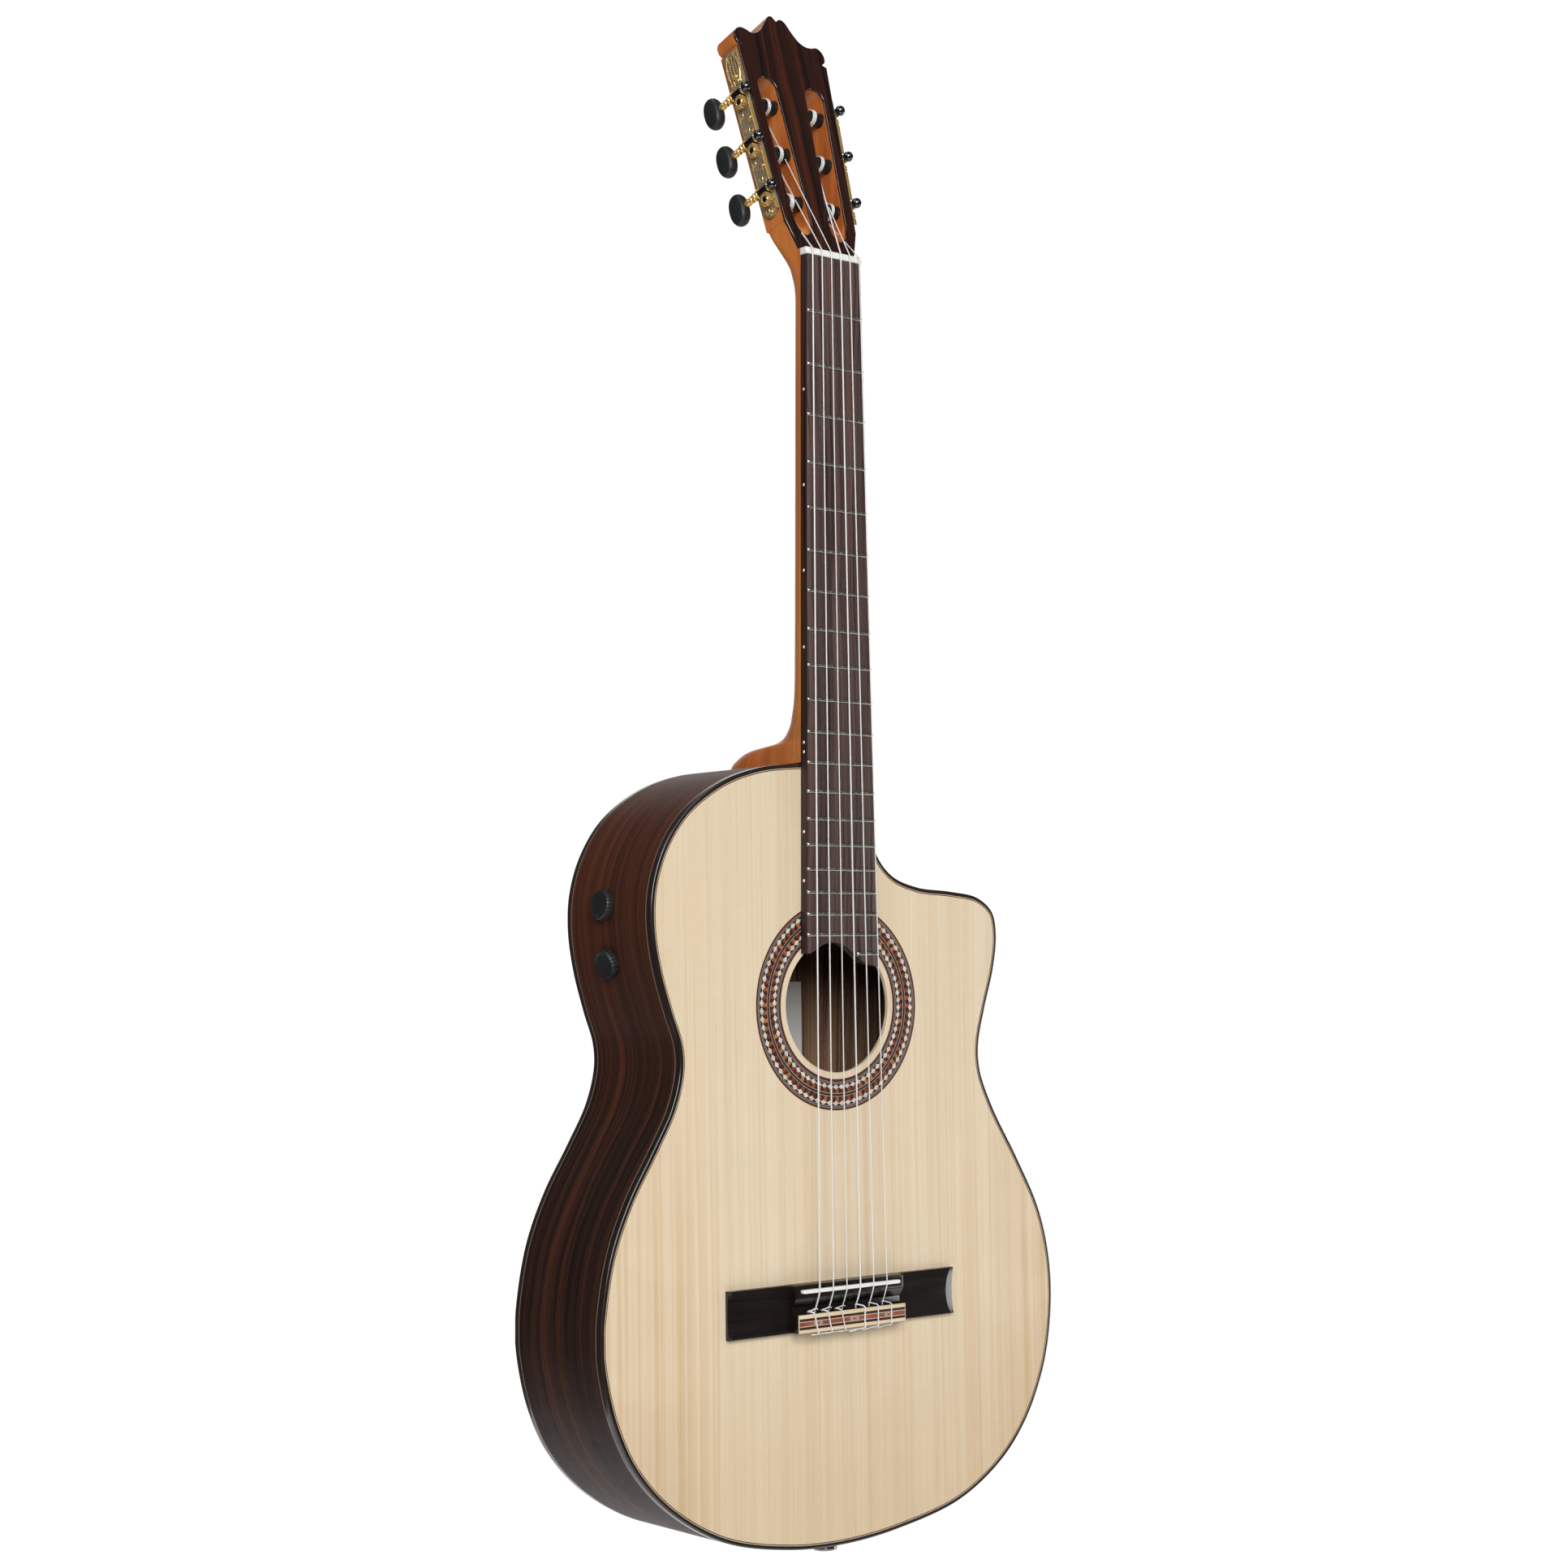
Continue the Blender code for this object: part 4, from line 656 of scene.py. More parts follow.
# ===========================================================================
# plan of the body
# ===========================================================================
BASS = [(0, -325), (-32, -325.8), (-62, -329.5), (-91, -339.2), (-119.4, -358.4),
        (-136, -381), (-144.4, -405), (-145.6, -428), (-141.5, -453), (-133, -480),
        (-126, -499), (-125, -514), (-131, -536), (-146, -562), (-163, -589),
        (-176.3, -619), (-183.5, -652.6), (-184.9, -675), (-181.4, -698.8),
        (-174.3, -722.2), (-161, -747.3), (-136, -773.5), (-95.3, -797.3),
        (-45, -809.3), (0, -812.3)]
TREBLE = [(0, -812.3), (46, -809), (100, -797.8), (137.5, -777), (159, -755),
          (173, -731), (181.5, -706), (185.6, -671), (182.5, -641), (174, -614),
          (156, -582), (134, -547), (123.5, -523), (122.3, -506), (128.5, -482),
          (137, -456), (140.3, -434), (137, -418.5), (124, -409), (100, -405),
          (70, -402.4), (48, -395), (35, -381), (31.5, -362), (30, -345),
          (29, -333), (25.5, -327.2), (18, -325), (0, -325)]
_c = spline(BASS + TREBLE[1:])
_cut = (len(BASS) - 1) * 24
LINE_B = thin_out(_c[:_cut + 1], 190)
LINE_T = thin_out(_c[_cut:], 250)
for _line in (LINE_B, LINE_T):
    _line[:, 0] = np.clip(_line[:, 0], -184.64, 185.55)
OUTER = np.vstack([LINE_B[:-1], LINE_T[:-1]])
HOLE_Z, HOLE_R = -477.5, 42.3
BIND_W, BIND_H = 2.0, 5.5
TOP_T, BACK_T, RIB_T = 2.5, 2.4, 2.0


def normals_of(line, closed):
    if closed:
        t = np.roll(line, -1, 0) - np.roll(line, 1, 0)
    else:
        t = np.gradient(line, axis=0)
    t = t / np.linalg.norm(t, axis=1)[:, None]
    return np.column_stack([-t[:, 1], t[:, 0]])


NRM = normals_of(OUTER, True)
if np.dot(NRM[60], np.array([0, -600]) - OUTER[60]) < 0:
    NRM = -NRM


def inset(d):
    q = OUTER + NRM * d
    if d > 1.0:
        keep = []
        for p in q:
            if np.min(np.hypot(*(OUTER - p).T)) > d - 0.12:
                keep.append(p)
        q = np.array(keep)
    return q


def back_y(x, z):
    t = min(1.0, max(0.0, (-325.0 - z) / 487.3))
    return 84.3 + 8.5 * t ** 0.8 + 4.0 * (1 - (x / 186.0) ** 2)


def run_of(line):
    return np.concatenate([[0], np.cumsum(np.hypot(*np.diff(line, axis=0).T))])


def sweep(line, nrm, profile, closed, back=False):
    """Profile of (inward, depth) points run along the edge line.  With back, the
    depths are counted from the back's outer face.  UVs: along and depth."""
    pts = []
    for (x, z), (nx, nz) in zip(line, nrm):
        by = back_y(x, z)
        ring = []
        for d, y in profile:
            yy = y(by) if callable(y) else (by + y if back else y)
            ring.append((x + nx * d, yy, z + nz * d))
        pts.append(ring)
    n, k = len(profile), len(line)
    run = run_of(np.vstack([line, line[:1]]) if closed else line)
    verts = [v for ring in pts for v in ring]
    faces, uvs = [], []
    for i in range(k if closed else k - 1):
        a, b = i * n, ((i + 1) % k) * n
        for j in range(n):
            jj = (j + 1) % n
            faces.append((a + j, a + jj, b + jj, b + j))
            uvs.append(((run[i], pts[i][j][1] + pts[i][j][0] * 0), (run[i], pts[i][jj][1]),
                        (run[i + 1], pts[(i + 1) % k][jj][1]), (run[i + 1], pts[(i + 1) % k][j][1])))
    if not closed:
        faces.append(tuple(range(n)))
        uvs.append(tuple((0, 0) for _ in range(n)))
        faces.append(tuple(reversed(range((k - 1) * n, k * n))))
        uvs.append(tuple((0, 0) for _ in range(n)))
    me = bpy.data.meshes.new("sweep")
    me.from_pydata([tuple(c * MM for c in v) for v in verts], [], faces)
    uv = me.uv_layers.new(name="wood")
    i = 0
    for f in uvs:
        for u, v in f:
            uv.data[i].uv = (u * MM, v * MM)
            i += 1
    bm = bmesh.new()
    bm.from_mesh(me)
    bmesh.ops.recalc_face_normals(bm, faces=bm.faces)
    bm.to_mesh(me)
    bm.free()
    return me


# ---- soundboard, bindings, purflings --------------------------------------
hole = circle(0, HOLE_Z, HOLE_R, 128)
top = flat([inset(3.5), hole], 0.0, TOP_T)
top = boolean(top, flat([circle(0, HOLE_Z, 66.0, 160), circle(0, HOLE_Z, 46.4, 160)], -1.0, 0.8), 'DIFFERENCE')
for f in top.polygons:
    if f.normal.y > 0.5 and f.center.y > 0.002:
        f.material_index = 1
piece("soundboard_top", top, [SPRUCE, SPRUCE_IN], 30, replaces=["soundboard"])
piece("rosette_ring", flat([circle(0, HOLE_Z, 66.0, 160), circle(0, HOLE_Z, 46.4, 160)], 0.0, 0.8), ROSETTE, 30,
      replaces=["rosette"])

bind = [(BIND_W, 0.0), (1.25, 0.0), (0.75, 0.09), (0.34, 0.34), (0.09, 0.75), (0.0, 1.25), (0.0, 4.7), (BIND_W, 4.7)]
piece("binding_top", sweep(OUTER, NRM, bind, True), BINDING, 40, replaces=["top_binding"])
bb = [(BIND_W, 0.0), (1.25, 0.0), (0.75, -0.09), (0.34, -0.34), (0.09, -0.75), (0.0, -1.25), (0.0, -4.7), (BIND_W, -4.7)]
piece("binding_back", sweep(OUTER, NRM, bb, True, True), BINDING, 40, replaces=["back_binding"])
for nm, d0, d1, mt in (("purfling_a", 2.0, 2.5, PURF_DARK), ("purfling_b", 2.5, 3.0, PURF_LIGHT), ("purfling_c", 3.0, 3.5, PURF_DARK)):
    piece(nm, sweep(OUTER, NRM, [(d0, 0.0), (d1, 0.0), (d1, 1.6), (d0, 1.6)], True), mt, 30)
for nm, y0, y1, mt in (("side_line_front", 4.7, 5.35, PURF_SIDE),):
    piece(nm, sweep(OUTER, NRM, [(0.0, y0), (0.0, y1), (1.6, y1), (1.6, y0)], True), mt, 30)
    piece("side_line_back", sweep(OUTER, NRM, [(0.0, -y0), (0.0, -y1), (1.6, -y1), (1.6, -y0)], True, True), mt, 30)

# ---- sides -----------------------------------------------------------------
KNOB_Y = 47.0


def rib_at(z):
    """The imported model's own place and outward direction of the knobs."""
    j = next(q for q in frame["joints"] if q["name"] == z)
    return Vector(j["pos_m"]) / MM, Vector(j["axis"])


def rib(line, name, node):
    nr = normals_of(line, False)
    mid = len(line) // 2
    if np.dot(nr[mid], np.array([0, -600]) - line[mid]) < 0:
        nr = -nr
    rows = [0.0, 0.25, 0.5, 0.75, 1.0]
    prof = [(0.0, (lambda t: (lambda by: 5.35 + (by - 5.35 - 5.35) * t))(t)) for t in rows]
    prof += [(RIB_T, (lambda t: (lambda by: 5.35 + (by - 5.35 - 5.35) * t))(t)) for t in reversed(rows)]
    return sweep(line, nr, prof, False)


rb = rib(LINE_B, "rib_bass_side", "rib_bass")
for jn in ("volume_knob_turn", "tone_knob_turn"):
    p, ax = rib_at(jn)
    z_ax = ax
    x_ax = Vector((0, 1, 0))
    y_ax = z_ax.cross(x_ax)
    mtx = Matrix(((x_ax.x, y_ax.x, z_ax.x, p.x * MM), (x_ax.y, y_ax.y, z_ax.y, p.y * MM),
                  (x_ax.z, y_ax.z, z_ax.z, p.z * MM), (0, 0, 0, 1)))
    cyl = revolve([(0, 8), (3.4, 8), (3.4, -12), (0, -12)], 32, mtx)
    rb = boolean(rb, cyl, 'DIFFERENCE')
piece("rib_bass_side", rb, ROSE_RIB, 40, replaces=["rib_bass"])
rt = rib(LINE_T, "rib_treble_side", "rib_treble")
rt = boolean(rt, revolve([(0, 30), (6.1, 30), (6.1, -30), (0, -30)], 48, at(19.0, 42.4, -810)), 'DIFFERENCE')
piece("rib_treble_side", rt, ROSE_RIB, 40, replaces=["rib_treble"])

# ---- arched back -------------------------------------------------------------
NX, NZ = 56, 72
gv, gf = [], []
for side_ in (0, 1):
    for i in range(NX + 1):
        for j in range(NZ + 1):
            x, z = -192 + 384 * i / NX, -819 + 500 * j / NZ
            gv.append((x, back_y(x, z) - (BACK_T if side_ else 0.0), z))
N1 = (NX + 1) * (NZ + 1)
for i in range(NX):
    for j in range(NZ):
        a = i * (NZ + 1) + j
        b, c, d = a + NZ + 1, a + NZ + 2, a + 1
        gf.append((a, b, c, d))
        gf.append((N1 + a, N1 + d, N1 + c, N1 + b))
for i in range(NX):
    for j in (0, NZ):
        a = i * (NZ + 1) + j
        b = a + NZ + 1
        gf.append((a, b, N1 + b, N1 + a))
for j in range(NZ):
    for i in (0, NX):
        a = i * (NZ + 1) + j
        gf.append((a, a + 1, N1 + a + 1, N1 + a))
slab = mesh_of(gv, gf)
bk = boolean(slab, flat([inset(BIND_W)], 60, 120), 'INTERSECT')
for f in bk.polygons:
    if f.normal.y < -0.5:
        f.material_index = 1
piece("back_arched", bk, [ROSE_BACK, INNER], 30, replaces=["back_plate"])

# ---- linings -----------------------------------------------------------------
for nm, prof, bk_, node in (("lining_top", [(2.2, 2.8), (2.2, 15.0), (3.6, 15.0), (8.0, 4.6), (8.0, 2.8)], False, "top_lining"),
                            ("lining_back", [(2.2, -2.8), (2.2, -14.5), (3.6, -14.5), (8.0, -4.6), (8.0, -2.8)], True, "back_lining")):
    piece(nm, sweep(OUTER, NRM, prof, True, bk_), BLOCKW, 30, replaces=[node])


# ===========================================================================
# neck and head
# ===========================================================================
TILT = math.radians(16.45)
S_T, C_T = math.sin(TILT), math.cos(TILT)
HEAD_T, PLATE_T, GAP = 19.5, 2.0, 0.3
HEAD = Matrix(((1, 0, 0, 0), (0, S_T, -C_T, 0), (0, C_T, S_T, 5.0 * MM), (0, 0, 0, 1)))
H0, S0, H1, S1 = 30.15, 20.1, 37.8, 147.7
FLARE = math.atan((H1 - H0) / (S1 - S0))
DEPTH = 7.9
TUNER_S = (37.5, 73.0, 108.5)


def head_pt(x, s_, d):
    return (x, s_ * S_T + d * C_T, 5.0 + s_ * C_T - d * S_T)


def board_half(z):
    return 22.6 + 5.2 * (-z / 325.0)


def section(w, d0, d1, p, place, narrow=0.0, n=40):
    ring = []
    for i in range(n + 1):
        a = math.pi * i / n
        c, s_ = math.cos(a), math.sin(a)
        x = w * math.copysign(abs(c) ** (2 / p), c)
        d = d0 + (d1 - d0) * abs(s_) ** (2 / p)
        x *= 1 - narrow * (d - d0) / (d1 - d0)
        ring.append(place(x, d))
    return ring


HEEL = [(-324.7, 87.9, 7.0, 0.20), (-321, 87.2, 5.5, 0.20), (-317.5, 84.5, 4.2, 0.20),
        (-314.5, 80.5, 3.4, 0.2), (-312.6, 74, 3.0, 0.2), (-311.3, 62, 2.7, 0.2),
        (-310, 48, 2.5, 0.17), (-307.5, 38.5, 2.35, 0.12), (-303.5, 31.5, 2.3, 0.07),
        (-298, 26, 2.25, 0.03), (-290, 21.8, 2.2, 0), (-278, 19.2, 2.2, 0),
        (-255, 18.2, 2.2, 0), (-170, 17.2, 2.2, 0), (-60, 16.2, 2.2, 0)]
rings = []
hs = spline(HEEL, 3)
for z, d, p, nar in hs:
    w = board_half(z)
    if z < -296:
        w = min(w, 26.95)
    rings.append(section(w, 0, d, p, lambda x, dd, z=z: (x, dd, z), max(0.0, nar)))
THROAT = [(-27, 0.0, 22.95, 16.0, 2.2), (-18, 4.0, 22.85, 16.2, 2.4), (-9.5, 8.5, 22.85, 16.9, 3.0),
          (-1.5, 13.0, 22.95, 18.0, 4.0), (4.6, 16.45, 23.2, 19.3, 6.0)]
for z, tau, w, d, p in spline(THROAT, 3):
    t = math.radians(tau)
    rings.append(section(w, 0, d, p, lambda x, dd, z=z, t=t: (x, dd * math.cos(t), z - dd * math.sin(t))))
for s_, w, p in ((0.15, 23.3, 6.0), (3.5, 24.4, 7.2), (7.0, 25.6, 9.0), (10.5, 26.8, 12.0), (14.0, 28.1, 16.0), (21.0, 30.0, 30.0)):
    rings.append(section(w, PLATE_T, HEAD_T - 0.05, p, lambda x, dd, s_=s_: head_pt(x, s_, dd)))
neck = skin(rings)

CREST = [(-37.8, 147.7), (-35.6, 148.6), (-38.3, 151.0), (-39.0, 155.5), (-36.8, 160.0), (-32.6, 162.3),
         (-28.0, 161.7), (-24.0, 160.2), (-19.5, 161.2), (-14.5, 165.5), (-9.5, 172.5), (-5.8, 177.0),
         (-3.0, 177.8), (-0.4, 175.6), (0.6, 174.4), (2.6, 176.3), (5.4, 177.0), (8.3, 175.2),
         (12.0, 169.3), (17.0, 163.0), (22.0, 160.4), (27.5, 160.5), (32.0, 161.8), (35.8, 159.8),
         (37.6, 156.0), (37.2, 151.8), (34.2, 149.0), (37.8, 147.7)]
_a = [tuple(p) for p in spline(CREST[1:15], 5)]
_b = [tuple(p) for p in spline(CREST[14:27], 5)]
CREST_S = [CREST[0]] + _a + _b[1:] + [CREST[-1]]
HEAD_LOOP = [(-H0, S0)] + CREST_S + [(H0, S0)]
wood = plate([HEAD_LOOP], HEAD_T - PLATE_T, HEAD @ at(0, 0, -(HEAD_T + PLATE_T) / 2))
neck = boolean(neck, wood, 'UNION')


def slot_loop(side, grow=0.0, dense=True):
    top_c, r = (20.1, 119.2), 7.9
    pts = []
    k_n = 28 if dense else 8
    for k in range(k_n + 1):
        a = math.radians(-3 + 186 * k / k_n)
        pts.append((top_c[0] + (r + grow) * math.cos(a), top_c[1] + (r + grow) * math.sin(a)))
    foot = [(7.6 - grow, 24.0), (8.6 - grow, 17.0), (11.4 - grow * 0.6, 12.6), (14.2, 11.2 - grow),
            (17.6 + grow * 0.6, 12.9), (20.8 + grow, 17.6), (22.6 + grow, 25.0)]
    pts += [tuple(p) for p in spline(foot, 6)]
    return pts if side > 0 else [(-x, y) for x, y in reversed(pts)]


for side in (-1, 1):
    cut = plate([slot_loop(side)], 30, HEAD @ at(0, 0, -HEAD_T / 2))
    inv = HEAD.inverted()
    for v in cut.vertices:
        q = inv @ v.co
        if q.z < -0.005 and q.y < 0.045:
            q.y += 0.022 * (0.045 - q.y) / 0.034
            v.co = HEAD @ q
    neck = boolean(neck, cut, 'DIFFERENCE')


def side_x(s_):
    return H0 + (H1 - H0) * (s_ - S0) / (S1 - S0)


def tuner_frame(side, s_):
    cf, sf = math.cos(FLARE), math.sin(FLARE)
    up = Vector((0, S_T, C_T))
    ex = Vector((1, 0, 0))
    n = Vector((0, C_T, -S_T))
    a = ex * (side * cf) - up * sf
    t = ex * (side * sf) + up * cf
    o = Vector(head_pt(side * side_x(s_), s_, DEPTH))
    return o, a, t, n


def basis(o, x, y, z):
    return Matrix(((x.x, y.x, z.x, o.x * MM), (x.y, y.y, z.y, o.y * MM), (x.z, y.z, z.z, o.z * MM), (0, 0, 0, 1)))


for side in (-1, 1):
    for s_ in TUNER_S:
        o, a, t, n = tuner_frame(side, s_)
        inner = side_x(s_) - 4.6
        c = o - a * (inner / 2 - 1.0)
        neck = boolean(neck, revolve([(0, (inner + 2) / 2), (5.0, (inner + 2) / 2), (5.0, -(inner + 2) / 2), (0, -(inner + 2) / 2)], 32,
                                     basis(c, t, a.cross(t), a)), 'DIFFERENCE')
tidy(neck, 0.00001)
piece("neck_wood", neck, NECK, 32, replaces=["neck"])

ven_loop = [(-23.3, 0.3), (-H0, S0)] + CREST_S + [(H0, S0), (23.3, 0.3)]
ven = plate([ven_loop, slot_loop(-1), slot_loop(1)], PLATE_T, HEAD @ at(0, 0, -PLATE_T / 2), 0.75, 3)
hn = Vector((0, -C_T, S_T))
for f in ven.polygons:
    f.material_index = 0 if f.normal.dot(hn) > 0.97 else 1
piece("head_veneer", ven, [VENEER, HEAD_EDGE], 50, replaces=["headplate"])

# ===========================================================================
# fingerboard, frets, dots, nut
# ===========================================================================
END = [(-27.4, -444.9), (-23.4, -443.2), (-18.0, -440.2), (-13.0, -438.5), (-8.0, -438.1),
       (-3.0, -438.8), (1.0, -440.2), (5.0, -442.5), (9.0, -445.5), (13.5, -448.8), (18.5, -451.4),
       (24.0, -452.9), (29.75, -453.3)]
end_s = [tuple(p) for p in spline(END, 8)]
board = flat([[(-22.6, -0.1), (-29.6, -444.9)] + end_s + [(22.6, -0.1)]], -6.3, -0.05, 0.25, 1)
for f in board.polygons:
    f.material_index = 0 if f.normal.y < -0.6 else 1
piece("fingerboard_ebonised", board, [BOARD, BOARD_SIDE], 30, replaces=["fingerboard"])


def fret_z(k):
    return -650.0 * (1 - 2 ** (-k / 12))


fm = []
for k in range(1, 21):
    z = fret_z(k)
    hw = board_half(z) - 0.15
    x0 = -hw if k < 20 else 11.2
    rings = []
    xs = [x0, x0 + 0.25, x0 + 0.8, x0 + 1.4] + list(np.linspace(x0 + 4, hw - 4, 8)) + [hw - 1.4, hw - 0.8, hw - 0.25, hw]
    for x in xs:
        e = min(x - x0, hw - x)
        h = 1.25 * min(1.0, (0.35 + 0.65 * math.sqrt(min(1.0, e / 1.3))))
        ring = [(x, -6.0, z - 1.1)]
        for q in range(9):
            a = math.pi * q / 8
            ring.append((x, -6.3 - h * math.sin(a) ** 0.8, z - 1.15 * math.cos(a)))
        ring.append((x, -6.0, z + 1.1))
        rings.append(ring)
    fm.append((skin(rings), 0))
piece("frets", join(*fm), FRET, 50, replaces=["fret_set"])

dm = []
for k, ys in ((3, (-3.2,)), (5, (-3.2,)), (7, (-3.2,)), (9, (-3.2,)), (12, (-1.9, -4.5)), (15, (-3.2,)), (17, (-3.2,))):
    zc = (fret_z(k) + fret_z(k - 1)) / 2
    for i, yy in enumerate(ys):
        zz = zc if len(ys) == 1 else zc + (3.0 if i else -3.0)
        yy = -3.2
        x = -board_half(zz)
        mt = basis(Vector((x, yy, zz)), Vector((0, 1, 0)), Vector((0, 0, -1)), Vector((-1, 0, 0)))
        dm.append((revolve([(0, 0.06), (0.85, 0.05), (1.0, -0.05), (1.0, -0.8), (0, -0.8)], 20, mt), 0))
piece("side_dots", join(*dm), DOT, 40)

nv = box(-23.3, 23.3, -7.75, -0.1, 0.1, 4.8)
for v in nv.vertices:
    if v.co.z > 0.004 and v.co.y < -0.005:
        v.co.y += 1.3 * MM
nv = bevelled(nv, 0.8, 4)
piece("nut_white", nv, BONE, 40, replaces=["nut"])

# ===========================================================================
# bridge, saddle, tie block
# ===========================================================================
ZB0, ZB1, ZM = -648.3, -677.9, -663.1


def wing_profile(x):
    """Section of the bridge's low body; its ends are scooped in a crescent."""
    out = []
    zs = list(np.linspace(ZB0 - 1.2, ZB1 + 1.2, 21))
    edge0 = [(-0.05, ZB0), (-2.9, ZB0), (-3.5, ZB0 - 0.15), (-3.85, ZB0 - 0.5)]
    edge1 = [(-3.85, ZB1 + 0.5), (-3.5, ZB1 + 0.15), (-2.9, ZB1), (-0.05, ZB1)]
    for y, z in edge0 + [(-4.0, z) for z in zs] + edge1:
        half = 14.8
        xb = 92.3 - 7.2 * math.sqrt(max(0.0, 1 - ((z - ZM) / half) ** 2))
        h = 4.0
        if abs(x) > xb:
            h = 4.0 - 0.26 * (abs(x) - xb) - 0.25 * ((abs(x) - xb) / 7.2) ** 2
        out.append((x, -min(-y, max(h, 0.9)), z))
    return out


xs = sorted(set([-92.3, -92.0] + list(np.round(np.linspace(-91.6, -85.0, 23), 3)) + [-70, -44, 0, 44, 70]
                + list(np.round(np.linspace(85.0, 91.6, 23), 3)) + [92.0, 92.3]))
bridge = skin([wing_profile(x) for x in xs])
prof = [(-1.0, -648.45), (-8.1, -648.5), (-8.75, -648.8), (-8.9, -649.4), (-8.9, -656.4), (-8.6, -657.2), (-5.9, -661.4), (-5.0, -662.0),
        (-5.0, -665.9), (-9.6, -666.2), (-10.2, -666.4), (-10.2, -677.3), (-9.6, -677.6), (-1.0, -677.7)]
blk = bevelled(skin([[(x, y, z) for y, z in prof] for x in (-44.2, 44.2)]), 0.3, 2, 50)
bridge = boolean(bridge, blk, 'UNION')
bridge = boolean(bridge, box(-40.4, 40.4, -20, -2.2, -654.0, -651.0), 'DIFFERENCE')
STR_X = [(0.5 - k / 5) for k in range(6)]
for k in range(6):
    bridge = boolean(bridge, revolve([(0, 9), (0.95, 9), (0.95, -9), (0, -9)], 16, at(STR_X[k] * 55.5, -6.9, -672)), 'DIFFERENCE')
piece("bridge_body", bridge, BRIDGE, 30, replaces=["bridge"])

st = []
for k in range(13):
    a = math.pi / 2 + math.pi * k / 12
    st.append((-38.8 + 1.2 * math.cos(a), -652.5 + 1.2 * math.sin(a)))
for k in range(13):
    a = -math.pi / 2 + math.pi * k / 12
    st.append((38.8 + 1.2 * math.cos(a), -652.5 + 1.2 * math.sin(a)))
piece("saddle_white", flat([st], -11.3, -3.4, 0.75, 4), BONE, 50, replaces=["saddle"])

parts = []
Y0, Y1 = -11.0, -10.2
for z0, z1, idx in ((-666.35, -668.7, 0), (-668.7, -670.4, 1), (-670.4, -670.75, 3), (-670.75, -673.35, 2), (-673.35, -673.7, 3),
                    (-673.7, -675.4, 1), (-675.4, -677.4, 0)):
    parts.append((box(-43.3, 43.3, Y0, Y1, z1, z0), idx))
for x0, x1 in ((-43.8, -43.3), (43.3, 43.8)):
    parts.append((box(x0, x1, Y0 + 0.05, Y1, -677.4, -666.35, 0.12, 2), 0))
for cx in (-28.5, 1.2, 29.6):
    zc = -672.05
    for s in (1, -1):
        for off in (2.6, 3.5):
            ch = [(cx + s * (off - 1.25), zc + 1.15), (cx + s * (off - 0.9), zc + 1.15), (cx + s * (off + 0.3), zc), (cx + s * (off - 0.9), zc - 1.15),
                  (cx + s * (off - 1.25), zc - 1.15), (cx + s * (off - 0.05), zc)]
            parts.append((flat([ch], Y0 - 0.03, Y0 + 0.2), 3))
    parts.append((flat([[(cx - 1.7, zc), (cx, zc + 1.25), (cx + 1.7, zc), (cx, zc - 1.25)]], Y0 - 0.03, Y0 + 0.2), 3))
    parts.append((flat([[(cx - 1.25, zc), (cx, zc + 0.92), (cx + 1.25, zc), (cx, zc - 0.92)]], Y0 - 0.05, Y0 + 0.2), 4))
piece("tie_block_marquetry", join(*parts), [TIE_CREAM, TIE_DARK, TIE_ORANGE, TIE_WHITE, TIE_RED], 30,
      replaces=["tie_block_inlay"])

